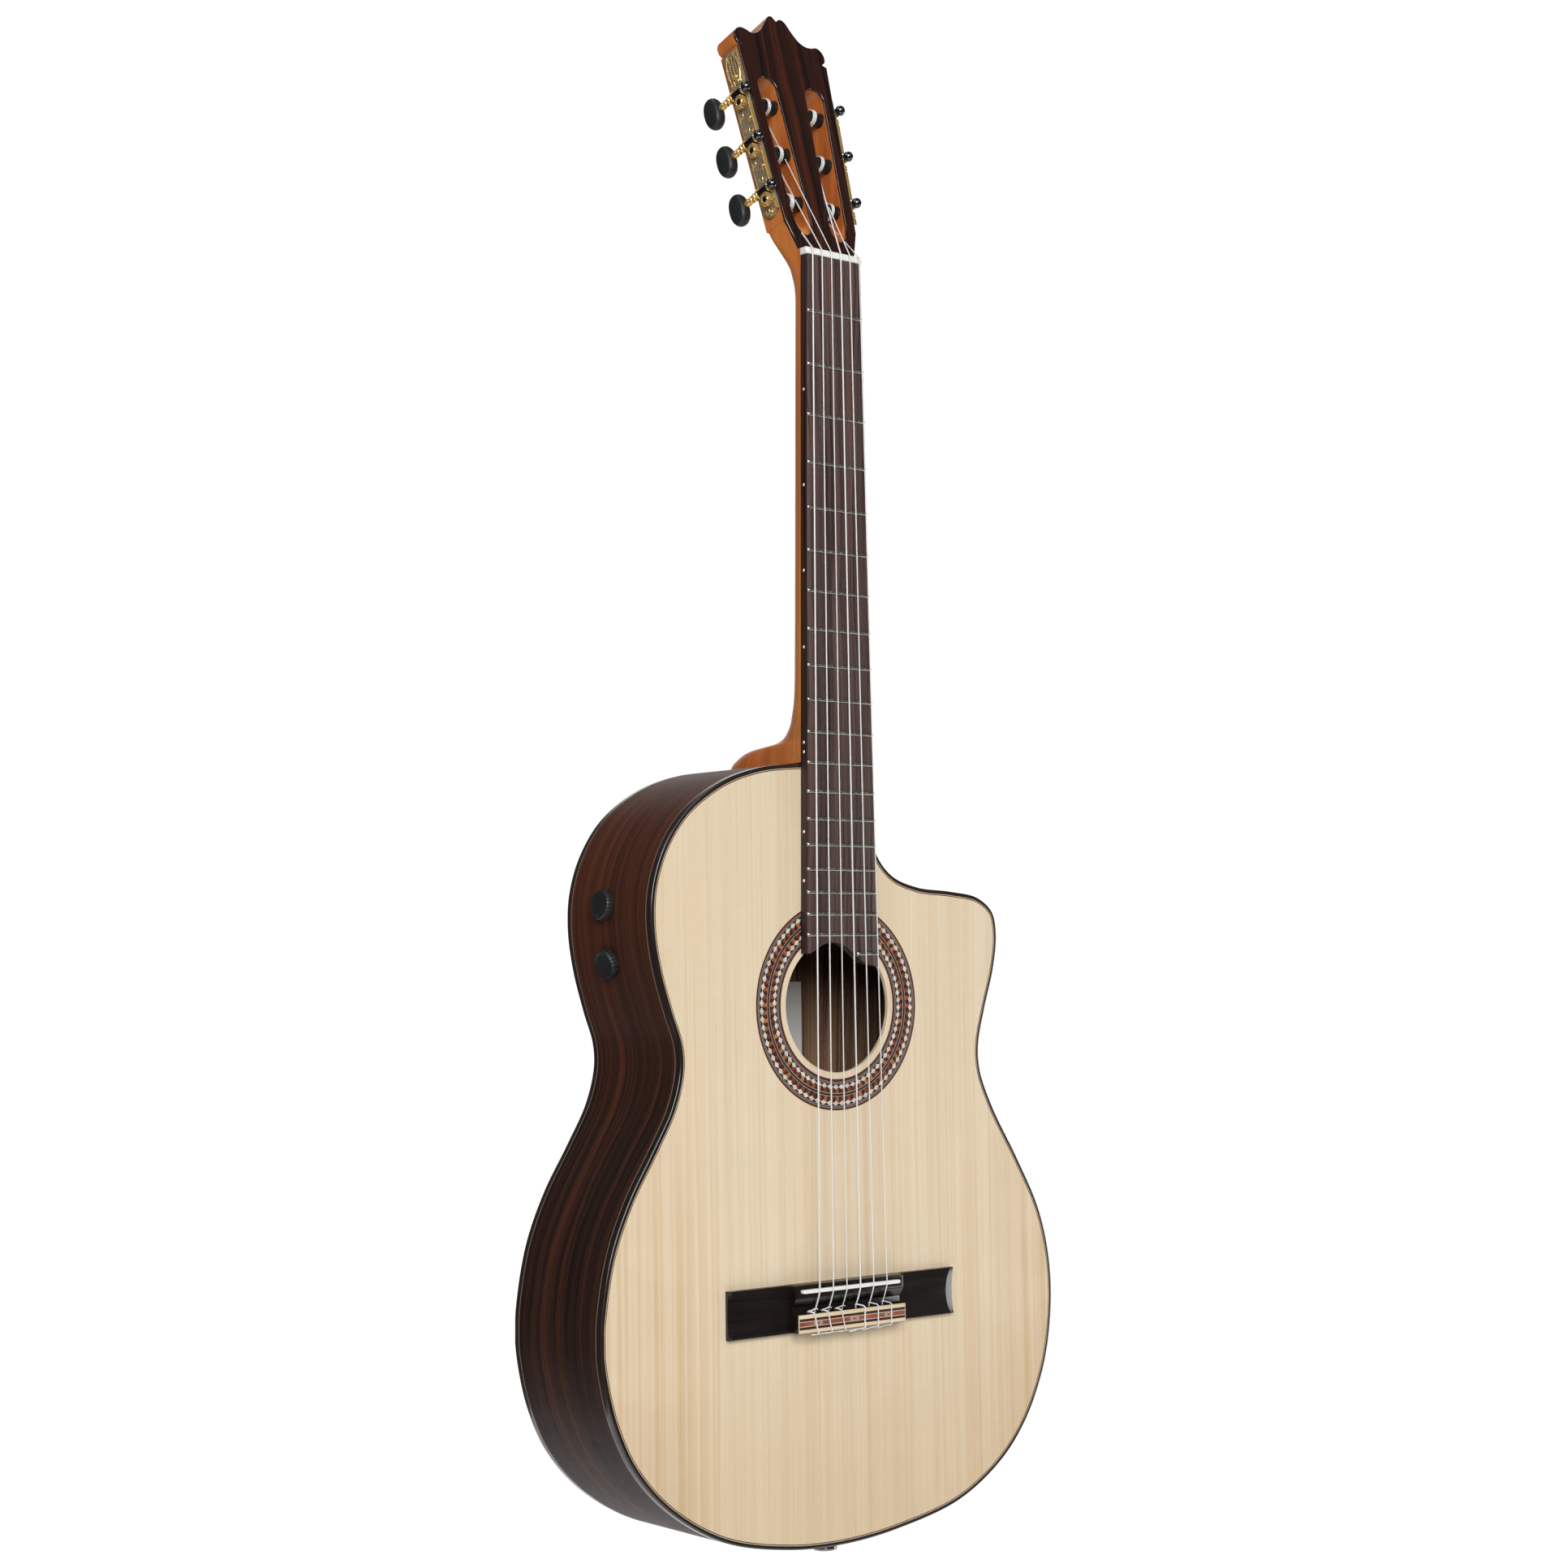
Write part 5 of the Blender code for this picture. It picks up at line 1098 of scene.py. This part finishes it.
# ===========================================================================
# strings: free length and ties on the body, windings on the rollers
# ===========================================================================
ROLLER_OF = {1: (1, 0), 2: (1, 1), 3: (1, 2), 4: (-1, 2), 5: (-1, 1), 6: (-1, 0)}
WIND_A = {0: 15.2, 1: 17.2, 2: 17.6}
STRING_R = (0.36, 0.41, 0.51, 0.38, 0.45, 0.55)
ROLLER_R = 4.75
for num in range(1, 7):
    r = STRING_R[num - 1]
    xs_, xn = STR_X[num - 1] * 55.5, STR_X[num - 1] * 39.2
    side, row = ROLLER_OF[num]
    o, a, t, n = tuner_frame(side, TUNER_S[row])
    start = o - a * WIND_A[row]
    wr = ROLLER_R + r + 0.03
    pitch = 2 * r + 0.12
    # the taut line leaves the winding where it is tangent to it
    nutp = Vector((xn, -8.72, 3.4))
    rel = nutp - start
    u2, v2 = rel.dot(t), rel.dot(-n)
    dist = math.hypot(u2, v2)
    base_ang = math.atan2(v2, u2)
    tang = base_ang + math.acos(min(1.0, wr / dist))
    if tang < 0:
        tang += 2 * math.pi

    def coil(ang):
        """Point of the winding; ang grows away from the tangent point."""
        th = tang - ang
        return start + (t * math.cos(th) + (-n) * math.sin(th)) * wr + a * (pitch * ang / (2 * math.pi))
    tan_pt = coil(0.0)
    side_dir = 1 if num <= 3 else -1
    taut = [np.array(tan_pt), np.array(nutp), np.array((xn, -8.75, 2.0)), np.array((xn, -8.74, 0.4))]
    line = []
    for p, q, cnt in ((taut[0], taut[1], 14), (taut[1], taut[3], 6)):
        line += [p + (q - p) * (i / cnt) for i in range(cnt)]
    sad = np.array((xs_, -11.62 - r * 0.7, -652.4))
    line += [taut[3] + (sad - taut[3]) * (i / 40) for i in range(40)]
    if num >= 4:
        tie = [sad, (xs_, -11.85, -653.3), (xs_ - 0.1, -9.6, -659.5), (xs_, -7.2, -664.8), (xs_, -6.9, -666.6), (xs_, -6.9, -672), (xs_, -6.9, -677.6),
               (xs_ - 0.2, -7.5, -678.9), (xs_ - 0.9, -9.7, -679.0), (xs_ - 1.3, -11.3 - r, -678.0), (xs_ - 2.1, -11.05 - r, -674.6),
               (xs_ - 3.3, -11.05 - r, -669.5), (xs_ - 4.2, -11.15 - r, -666.3), (xs_ - 5.0, -10.8 - r * 0.5, -665.3),
               (xs_ - 6.4, -9.8, -664.9), (xs_ - 7.0, -8.4, -665.1), (xs_ - 5.6, -7.6, -664.9), (xs_ - 3.0, -7.9, -664.4),
               (xs_ - 0.4, -8.7, -663.6), (xs_ + 1.2, -8.3, -664.2)]
    else:
        tie = [sad, (xs_, -11.85, -653.3), (xs_, -9.6, -659.5), (xs_, -7.2, -664.8), (xs_, -6.9, -666.6), (xs_, -6.9, -672), (xs_, -6.9, -677.6),
               (xs_ + 0.8, -7.5, -678.9), (xs_ + 2.6, -9.7, -679.0), (xs_ + 3.6, -11.3 - r, -678.0), (xs_ + 3.7, -11.05 - r, -674.6),
               (xs_ + 3.8, -11.05 - r, -669.5), (xs_ + 3.9, -11.15 - r, -666.3), (xs_ + 3.6, -10.4, -665.1),
               (xs_ + 2.4, -8.9, -664.7), (xs_ + 0.6, -8.1, -664.1), (xs_ - 1.1, -7.6, -664.2)]
    line += [tuple(p) for p in spline(tie, 7)]
    mt = NYLON if num <= 3 else WOUND
    meshes = [(tube(line, r, 12), 0)]
    # the cut end, tucked under its neighbour along the foot of the tie block
    if num >= 4:
        tail = spline([(xs_ - 1.2, -10.0, -679.1), (xs_ - 4.2, -8.6, -679.3), (xs_ - 1.0, -7.8, -679.5), (xs_ + 4.0, -8.4, -679.1), (xs_ + 9.5, -9.2, -678.9)], 6)
        meshes.append((tube(tail, r * 0.85, 10), 0))
    else:
        tail = spline([(xs_ + 3.4, -10.0, -679.1), (xs_ + 0.6, -8.4, -679.2), (xs_ - 3.0, -9.4, -679.6), (xs_ - 6.0, -7.6, -680.4)], 6)
        meshes.append((tube(tail, r * 0.85, 10), 0))
    piece("string_%d_length" % num, join(*meshes), mt, 60, replaces=["string_%d" % num])
    # winding with its crossed-over end
    turns = 2.6
    wpts = [coil(-0.26 + (turns * 2 * math.pi + 0.26) * i / 110) for i in range(111)]
    last = wpts[-1]
    cross = [last, coil(turns * 2 * math.pi + 0.5) + (-n) * 0.15]
    c0 = start + a * (pitch * 1.0)
    th = tang - 0.9
    rad = (t * math.cos(th) + (-n) * math.sin(th))
    cross = [tuple(last), tuple(coil(turns * 2 * math.pi + 0.35) + rad * 0.3), tuple(c0 + rad * (wr + r * 1.9) + a * 0.6),
             tuple(c0 + rad * (wr + r * 2.2) - a * 2.2 + t * 1.0), tuple(c0 + rad * (wr + 1.6) - a * 4.6 + t * 3.0)]
    wm = [(tube([tuple(p) for p in wpts], r, 10), 0), (tube(spline(cross, 8), r * 0.95, 10), 0)]
    tail = spline([tuple(c0 + rad * (wr + r) + a * 1.5), tuple(c0 + rad * (wr + 1.2) + a * 0.6 + t * 1.6),
                   tuple(c0 + rad * (wr + 2.0) + a * 0.2 + t * 4.2), tuple(c0 + rad * (wr + 2.2) + a * 0.8 + t * 6.6)], 6)
    wm.append((tube(tail, r * 0.8, 10), 0))
    piece("string_%d_winding" % num, join(*wm), mt, 60, body="winder_%d" % num)

# ===========================================================================
# tuning machines
# ===========================================================================
PLATE_A0, PLATE_A1 = 0.1, 1.5
CENTRES, WORM_A, GEAR_A, GEAR_W = 6.5, 4.3, 3.0, 2.6


def side_plate(side):
    o, a, t, n = tuner_frame(side, TUNER_S[1])
    z = t.cross(n)
    sgn = 1.0 if z.dot(a) > 0 else -1.0
    mat = basis(o, t, n, z)
    s_mid = TUNER_S[1]
    d0, d1 = 1.5 - DEPTH, 17.0 - DEPTH
    lo, hi = 26.0 - s_mid, 146.6 - s_mid
    mid, h = (d0 + d1) / 2, (d1 - d0) / 2
    loop = []
    for k in range(25):
        ang = math.pi * k / 24
        loop.append((lo + h - h * math.sin(ang), mid - h * math.cos(ang)))
    loop += [(hi - 26, d1), (hi - 22, d1 - 0.4), (hi - 2, d1 - 0.8), (hi - 0.6, d1 - 2.4), (hi, mid + 2.0), (hi, mid - 2.0),
             (hi - 0.6, d0 + 2.4), (hi - 2, d0 + 0.8), (hi - 22, d0 + 0.4), (hi - 26, d0)]
    # the lyre's open gaps, through which the wood shows
    gaps = []
    for d_c in (5.15, 7.8, 10.6, 13.25):
        cap = [(142.2 - s_mid + 0.6 * math.cos(q), d_c - DEPTH + 0.6 * math.sin(q)) for q in np.linspace(-math.pi / 2, math.pi / 2, 9)]
        cap += [(127.5 - s_mid + 0.6 * math.cos(q), d_c - DEPTH + 0.6 * math.sin(q)) for q in np.linspace(math.pi / 2, 3 * math.pi / 2, 9)]
        gaps.append(cap)
    me = plate([loop] + gaps, PLATE_A1 - PLATE_A0, mat @ at(0, 0, sgn * (PLATE_A0 + PLATE_A1) / 2), 0.2, 2)
    meshes = [(me, 0)]

    def P(s, d, out):                       # side frame point in mm
        return Vector(o) + t * (s - s_mid) + n * (d - DEPTH) + a * out

    def place(s, d, out):
        return basis(P(s, d, out), t, a.cross(t), a)
    # folded front rims between the machines
    for s0, s1 in ((28.5, 33.0), (47.6, 68.0), (83.0, 104.0)):
        q = [P(s0, 1.5, 0.6), P(s1, 1.5, 0.6)]
        ring = []
        for p in q:
            ring.append([tuple(p + n * dx + a * dy) for dx, dy in ((-0.25, 0), (-0.25, 2.6), (0.1, 2.9), (0.75, 2.9), (0.75, 0))])
        meshes.append((skin(ring), 1))
    # ears that carry the worms: a plain front one and a tall rounded back one
    for s_ in TUNER_S:
        c = s_ + CENTRES
        for e0, e1, wid, reach in ((2.5, 3.6, 2.9, 2.6), (12.2, 13.3, 3.5, 3.6)):
            rings_ = []
            for d in (e0, e0 + 0.15, e1 - 0.15, e1):
                g = 0.0 if d in (e0, e1) else 0.15
                ring = [P(c - wid - g, d, 1.0)]
                for k in range(17):
                    an = math.pi * k / 16
                    ring.append(P(c - (wid + g) * math.cos(an), d, WORM_A - 0.6 + (reach + g) * math.sin(an)))
                ring.append(P(c + wid + g, d, 1.0))
                rings_.append([tuple(p) for p in ring])
            ear = skin(rings_)
            bore = revolve([(0, 3), (1.95, 3), (1.95, -3), (0, -3)], 24, basis(P(c, (e0 + e1) / 2, WORM_A), t, n.cross(t), n))
            ear = boolean(ear, bore, 'DIFFERENCE')
            meshes.append((ear, 1))
    # screws: slotted domes
    for s_, d in ((28.7, 9.2), (60.6, 6.2), (96.1, 6.2), (128.0, 9.2)):
        dome = revolve([(0, 2.45), (0.9, 2.35), (1.6, 2.0), (2.05, 1.5), (2.15, 1.45), (2.15, 1.2), (0, 1.2)], 24, place(s_, d, 0.0))
        cutter = box(-3, 3, -0.25, 0.25, 1.9, 3.2)
        cutter.transform(place(s_, d, 0.0))
        meshes.append((boolean(dome, cutter, 'DIFFERENCE'), 1))
    # lyre at the head of the plate: beaded strings between two scrolled arms
    for k, dd in enumerate((6.4, 9.2, 12.0)):
        for i in range(9):
            s = 126.5 + i * 1.95
            meshes.append((revolve([(0, 2.1), (0.45, 1.95), (0.62, 1.55), (0.62, 1.3), (0, 1.3)], 8, place(s, dd, 0.0)), 1))
    for sg in (-1, 1):
        arm = []
        for i in range(15):
            f = i / 14
            arm.append((124.0 + 20.5 * f, 9.2 + sg * (2.6 + 3.4 * math.sin(math.pi * (0.12 + 0.86 * f)))))
        path = [tuple(P(s, d, 1.62)) for s, d in arm]
        meshes.append((tube(spline(path, 3), 0.48, 8), 1))
        curl = [tuple(P(124.0 + 2.0 * math.cos(q), 9.2 + sg * (3.4 + 1.5 * math.sin(q)), 1.6)) for q in np.linspace(0.3, 5.6, 14)]
        meshes.append((tube(curl, 0.42, 8), 1))
    # scroll work along the plate
    for s_c, d_c in ((54.0, 11.2), (52.0, 8.2), (90.0, 11.2), (88.0, 8.2), (31.5, 12.6), (31.5, 6.2), (66.5, 13.6), (102.0, 13.6)):
        q = np.linspace(0, 5.2, 16)
        path = [tuple(P(s_c + (0.35 + 0.32 * w) * math.cos(w) * 1.6, d_c + (0.35 + 0.32 * w) * math.sin(w) * 1.3, 1.5)) for w in q]
        meshes.append((tube(path, 0.3, 6), 1))
    # border
    for dd in (3.2, 15.3):
        path = [tuple(P(s, dd, 1.5)) for s in np.linspace(36, 122, 20)]
        meshes.append((tube(path, 0.28, 6), 1))
    return join(*meshes)


piece("tuner_side_bass", side_plate(-1), [ENGRAVED, GOLD], 40, replaces=["tuner_plate_bass"])
piece("tuner_side_treble", side_plate(1), [ENGRAVED, GOLD], 40, replaces=["tuner_plate_treble"])


def helix_thread():
    """Square-crowned thread on the worm, right-handed, running out at both ends."""
    lead = 2 * math.pi * 4.55 / 16
    rings = []
    steps = 26 * 5
    turns = 4.8
    for i in range(steps + 1):
        f = i / steps
        ang = 2 * math.pi * turns * (f - 0.5)
        z = lead * ang / (2 * math.pi)
        fade = min(1.0, min(f, 1 - f) * 12)
        rt_ = 1.5 + 0.95 * fade
        ca, sa = math.cos(ang), math.sin(ang)
        rings.append([(1.3 * ca, 1.3 * sa, z - 0.5), (rt_ * ca, rt_ * sa, z - 0.24), (rt_ * ca, rt_ * sa, z + 0.24), (1.3 * ca, 1.3 * sa, z + 0.5)])
    return skin(rings)


for (side, row), num in {(-1, 0): 6, (-1, 1): 5, (-1, 2): 4, (1, 2): 3, (1, 1): 2, (1, 0): 1}.items():
    o, a, t, n = tuner_frame(side, TUNER_S[row])
    place = basis(o, t, a.cross(t), a)
    inner = -(side_x(TUNER_S[row]) - 5.4)
    R = ROLLER_R
    prof = [(0, 2.6), (1.9, 2.6), (1.9, -0.3), (R - 0.35, -0.3), (R, -0.7), (R, -6.0), (R - 0.12, -6.6), (R - 0.12, inner + 3.2), (R, inner + 2.6),
            (R, inner + 0.5), (R - 0.5, inner), (0, inner)]
    rol = revolve(prof, 40, place)
    # the string hole through the barrel
    c = o - a * (WIND_A[row] - 3.2)
    rol = boolean(rol, revolve([(0, 6), (0.9, 6), (0.9, -6), (0, -6)], 14, basis(c, a, t, a.cross(t))), 'DIFFERENCE')
    piece("roller_barrel_%d" % num, rol, ROLLERP, 40, body="winder_%d" % num, replaces=["roller_%d" % num])
    # gear: crowned teeth, hub and slotted screw
    loop = []
    for k in range(16):
        cc = (k + 0.5) * 2 * math.pi / 16
        for r_, da in ((4.05, -0.125), (4.55, -0.082), (4.85, -0.045), (4.85, 0.045), (4.55, 0.082), (4.05, 0.125)):
            loop.append((r_ * math.cos(cc + da), r_ * math.sin(cc + da)))
    gear = plate([loop], GEAR_W, place @ at(0, 0, GEAR_A + GEAR_W / 2), 0.18, 2)
    hub = revolve([(0, 5.5), (2.25, 5.5), (2.3, 5.75), (2.6, 6.0), (3.0, 5.95), (3.25, 5.6), (3.25, 5.0), (0, 5.0)], 32, place)
    coll = revolve([(0, 3.0), (3.3, 3.0), (3.3, 2.0), (3.0, 1.75), (0, 1.75)], 32, place)
    scr = revolve([(0, 6.35), (1.1, 6.25), (1.8, 5.9), (2.1, 5.5), (2.1, 5.2), (0, 5.2)], 28, place)
    cutter = box(-3, 3, -0.28, 0.28, 5.95, 7.2)
    cutter.transform(place)
    scr = boolean(scr, cutter, 'DIFFERENCE')
    piece("gear_wheel_%d" % num, join((gear, 0), (hub, 0), (coll, 0), (scr, 1)), [GOLD, BLACKM], 35, body="winder_%d" % num,
          replaces=["gear_%d" % num])
    # worm, local Z towards the button
    w0 = o + t * CENTRES + a * WORM_A
    x_ax = -t
    place = basis(w0, x_ax, n.cross(x_ax), n)
    d = DEPTH
    ball = [(0, -4.0)] + [(3.45 * math.sin(q), -0.6 - 3.4 * math.cos(q)) for q in np.linspace(0.2, 2.5, 14)]
    prof = [(r_, z_ - d) for r_, z_ in ball] + [(1.6, 2.3 - d), (1.6, 2.45 - d)]
    ballm = revolve(prof + [(0, 2.45 - d)], 32, place)
    washer = revolve([(0, 1.55 - d), (2.75, 1.55 - d), (2.9, 1.75 - d), (2.75, 2.0 - d), (0, 2.0 - d)], 32, place)
    core = revolve([(0, 2.2 - d), (1.45, 2.2 - d), (1.45, 3.8 - d), (2.35, 3.8 - d), (2.35, 4.4 - d), (1.75, 4.7 - d), (1.75, 11.5 - d), (2.4, 11.8 - d), (2.4, 12.0 - d),
                    (1.8, 12.05 - d), (1.8, 13.6 - d), (0, 13.6 - d)], 28, place)
    th = helix_thread()
    th.transform(place @ Matrix.Translation((0, 0, 0.0)))
    piece("worm_%d" % num, join((core, 0), (th, 0), (ballm, 1), (washer, 2)), [BLACKM, BALL, STEEL], 35, body="tuner_%d" % num,
          replaces=["worm_shaft_%d" % num])
    col = [(0, 13.5)] + [(2.2, 13.5), (2.3, 14.0), (1.9, 14.6)] + bead(1.7, 2.95, 14.9, 18.4) + [(1.9, 18.6)] + bead(1.6, 2.55, 18.9, 21.4) + \
        [(1.7, 21.7), (2.3, 22.4), (2.6, 23.6), (2.3, 25.6), (1.6, 26.9), (0, 27.0)]
    piece("collar_%d" % num, revolve([(r_, z_ - d) for r_, z_ in col], 32, place), GOLD, 50, body="tuner_%d" % num)
    # button: an oval pill with flat faces, a rounded rim and a crease between
    rings_ = []
    M_ = 56
    zc = 34.0 - d
    levels = [(0.0, -4.25), (0.35, -4.15), (0.62, -3.95), (0.80, -3.7), (0.86, -3.5), (0.93, -2.7), (0.975, -1.6), (1.0, 0.0), (0.975, 1.6),
              (0.93, 2.7), (0.86, 3.5), (0.80, 3.7), (0.62, 3.95), (0.35, 4.15), (0.0, 4.25)]
    verts, faces, rows = [], [], []
    for f, yy in levels:
        if f == 0:
            rows.append([len(verts)])
            verts.append((0, yy, zc))
        else:
            rw = []
            for k in range(M_):
                q = 2 * math.pi * k / M_
                cx_, cz_ = math.cos(q), math.sin(q)
                xx = 11.0 * math.copysign(abs(cx_) ** 0.92, cx_) * f
                zz_ = 7.3 * math.copysign(abs(cz_) ** 0.92, cz_) * f
                rw.append(len(verts))
                verts.append((xx, yy, zc + zz_ * (1 + 0.05 * (xx / 10.4) ** 2)))
            rows.append(rw)
    for A, B in zip(rows, rows[1:]):
        for k in range(M_):
            j = (k + 1) % M_
            if len(A) == 1:
                faces.append((A[0], B[k], B[j]))
            elif len(B) == 1:
                faces.append((A[k], B[0], A[j]))
            else:
                faces.append((A[k], B[k], B[j], A[j]))
    btn = mesh_of(verts, faces, True, place)
    piece("button_%d" % num, btn, BUTTON, 20, body="tuner_%d" % num, replaces=["tuner_button_%d" % num])

# ===========================================================================
# preamp knobs, output jack
# ===========================================================================
for jn, node in (("volume_knob_turn", "volume_knob"), ("tone_knob_turn", "tone_knob")):
    p, ax = rib_at(jn)
    x_ax = Vector((0, 1, 0))
    y_ax = ax.cross(x_ax)
    mtx = basis(p, x_ax, y_ax, ax)

    def knurl(ang, r_, z_):
        if r_ < 8.9 or z_ > 5.0:
            return 1.0
        return 1.0 - 0.035 * max(0.0, math.cos(ang * 20)) ** 3
    prof = [(0, 5.0), (5.5, 5.05), (7.6, 5.3), (8.0, 5.55), (8.5, 5.5), (8.95, 4.9), (9.2, 4.2), (9.5, 0.9), (9.45, 0.5), (9.2, 0.35),
            (3.0, 0.35), (3.0, -7.0), (0, -7.0)]
    kb = revolve(prof, 240, mtx, knurl)
    mark = box(-0.35, 0.35, 5.2, 8.0, 5.0, 5.75, 0.1, 1)
    mark.transform(mtx)
    piece(node + "_cap", join((kb, 0), (mark, 0)), BLACKP, 30, body=node, replaces=[node])

jz = -812.0
prof = [(0, -778.0 - jz), (4.6, -778.0 - jz), (5.9, -780.0 - jz), (5.9, 0.0), (8.2, -0.2), (8.4, -0.5), (8.4, -1.5), (8.1, -1.9), (6.4, -2.4), (5.7, -3.4),
        (5.35, -5.2), (5.5, -7.6), (6.3, -9.0), (7.7, -9.8), (8.1, -10.6), (8.15, -11.4), (7.9, -12.1), (7.2, -12.55), (4.2, -12.6), (3.6, -12.4), (3.25, -11.8),
        (3.25, 6.0), (0, 6.0)]
jack = revolve(prof, 64, at(19.0, 42.4, jz))
piece("jack_strap_button", jack, CHROME, 35, replaces=["output_jack"])

# ---- carried-over inner pieces ---------------------------------------------
for node, mat in (("neck_block", BLOCKW), ("tail_block", BLOCKW), ("harmonic_bars", BRACEW), ("fan_bracing", BRACEW), ("back_bracing", BRACEW),
                  ("label", PAPER), ("piezo_pickup", SHIELD), ("preamp", BLACKP)):
    ob = NODES[node]
    ob.data.materials.clear()
    ob.data.materials.append(mat)

# ===========================================================================
# floor, light, camera
# ===========================================================================
fl = Mat("floor_pale", (0.92, 0.92, 0.92, 1), 0.9)
fn = fl.noise(fl.map(fl.obj(), (3, 3, 3)), 1, 2)
fl.color(fl.mix(fl.step(fn, 0.3, 0.7, 0.0, 0.02), (0.93, 0.93, 0.93, 1), (0.90, 0.90, 0.90, 1)))
fl.b.inputs["Emission Color"].default_value = (1, 1, 1, 1)
fx, fy, fz = fl.xyz(fl.obj())
fl.put(fl.b.inputs["Emission Strength"], fl.step(fl.math('SQRT', fl.math('ADD', fl.math('MULTIPLY', fx, fx), fl.math('MULTIPLY', fy, fy))),
                                                 1.25, 1.5, 0.30, 0.9))
me = mesh_of([(1500 * math.cos(2 * math.pi * k / 96), 60 + 1500 * math.sin(2 * math.pi * k / 96), -1500) for k in range(96)],
             [tuple(range(96))], False)
floor = bpy.data.objects.new("floor", me)
me.materials.append(fl.m)
scene.collection.objects.link(floor)

world = bpy.data.worlds.new("studio")
scene.world = world
world.use_nodes = True
nt = world.node_tree
bg = nt.nodes["Background"]
tc = nt.nodes.new("ShaderNodeTexCoord")
dot = nt.nodes.new("ShaderNodeVectorMath")
dot.operation = 'DOT_PRODUCT'
nt.links.new(tc.outputs["Generated"], dot.inputs[0])
dot.inputs[1].default_value = (0.633, 0.771, 0.068)
mr = nt.nodes.new("ShaderNodeMapRange")
mr.interpolation_type = 'SMOOTHSTEP'
nt.links.new(dot.outputs["Value"], mr.inputs[0])
mr.inputs[1].default_value = 0.74
mr.inputs[2].default_value = 0.94
mr.inputs[3].default_value = 0.09
mr.inputs[4].default_value = 1.08
lp = nt.nodes.new("ShaderNodeLightPath")
mx = nt.nodes.new("ShaderNodeMath")
mx.operation = 'MAXIMUM'
nt.links.new(lp.outputs["Is Camera Ray"], mx.inputs[0])
nt.links.new(mr.outputs[0], mx.inputs[1])
nt.links.new(mx.outputs[0], bg.inputs["Strength"])
bg.inputs["Color"].default_value = (1, 1, 1, 1)


def area(name, loc, target, size, power, size_y=None):
    li = bpy.data.lights.new(name, 'AREA')
    li.energy = power
    li.size = size
    if size_y:
        li.shape = 'RECTANGLE'
        li.size_y = size_y
    ob = bpy.data.objects.new(name, li)
    ob.location = loc
    ob.rotation_mode = 'QUATERNION'
    ob.rotation_quaternion = (Vector(target) - Vector(loc)).to_track_quat('-Z', 'Y')
    scene.collection.objects.link(ob)
    return ob


area("key", (-1.9, -2.9, 0.9), (0, 0, -0.3), 2.2, 118, 2.0)
area("front_right", (0.2, -3.4, 1.7), (0, 0, -0.3), 1.2, 20, 1.2)
area("top_light", (-0.2, 0.6, 2.6), (0, 0, -0.3), 1.2, 9, 1.2)
area("kicker", (-1.7, -0.1, 1.5), (0, 0, 0.1), 0.7, 9, 0.7)
area("right_strip", (2.5, -0.78, -0.95), (0, 0, -0.65), 1.0, 14, 1.1)
area("right_edge", (2.4, 0.30, -0.35), (0.15, 0.02, -0.55), 0.6, 5, 1.6)

cam = bpy.data.cameras.new("camera")
cam.sensor_width = 36.0
cam.sensor_fit = 'AUTO'
cam.lens = 3237.08 / 1932.0 * 36.0
cam.clip_start, cam.clip_end = 0.05, 60.0
co = bpy.data.objects.new("camera", cam)
scene.collection.objects.link(co)
yaw, pitch, roll = 0.6871, 0.0683, -0.0124
f = Vector((math.sin(yaw) * math.cos(pitch), math.cos(yaw) * math.cos(pitch), math.sin(pitch)))
rr = Vector((math.cos(yaw), -math.sin(yaw), 0))
uu = rr.cross(f)
r2 = rr * math.cos(roll) + uu * math.sin(roll)
u2 = -rr * math.sin(roll) + uu * math.cos(roll)
co.matrix_world = Matrix(((r2.x, u2.x, -f.x, -1.08094), (r2.y, u2.y, -f.y, -1.26642), (r2.z, u2.z, -f.z, -0.45095), (0, 0, 0, 1)))
scene.camera = co
scene.view_settings.view_transform = 'Standard'
scene.view_settings.look = 'None'
scene.view_settings.exposure = 0.0

bpy.context.view_layer.update()
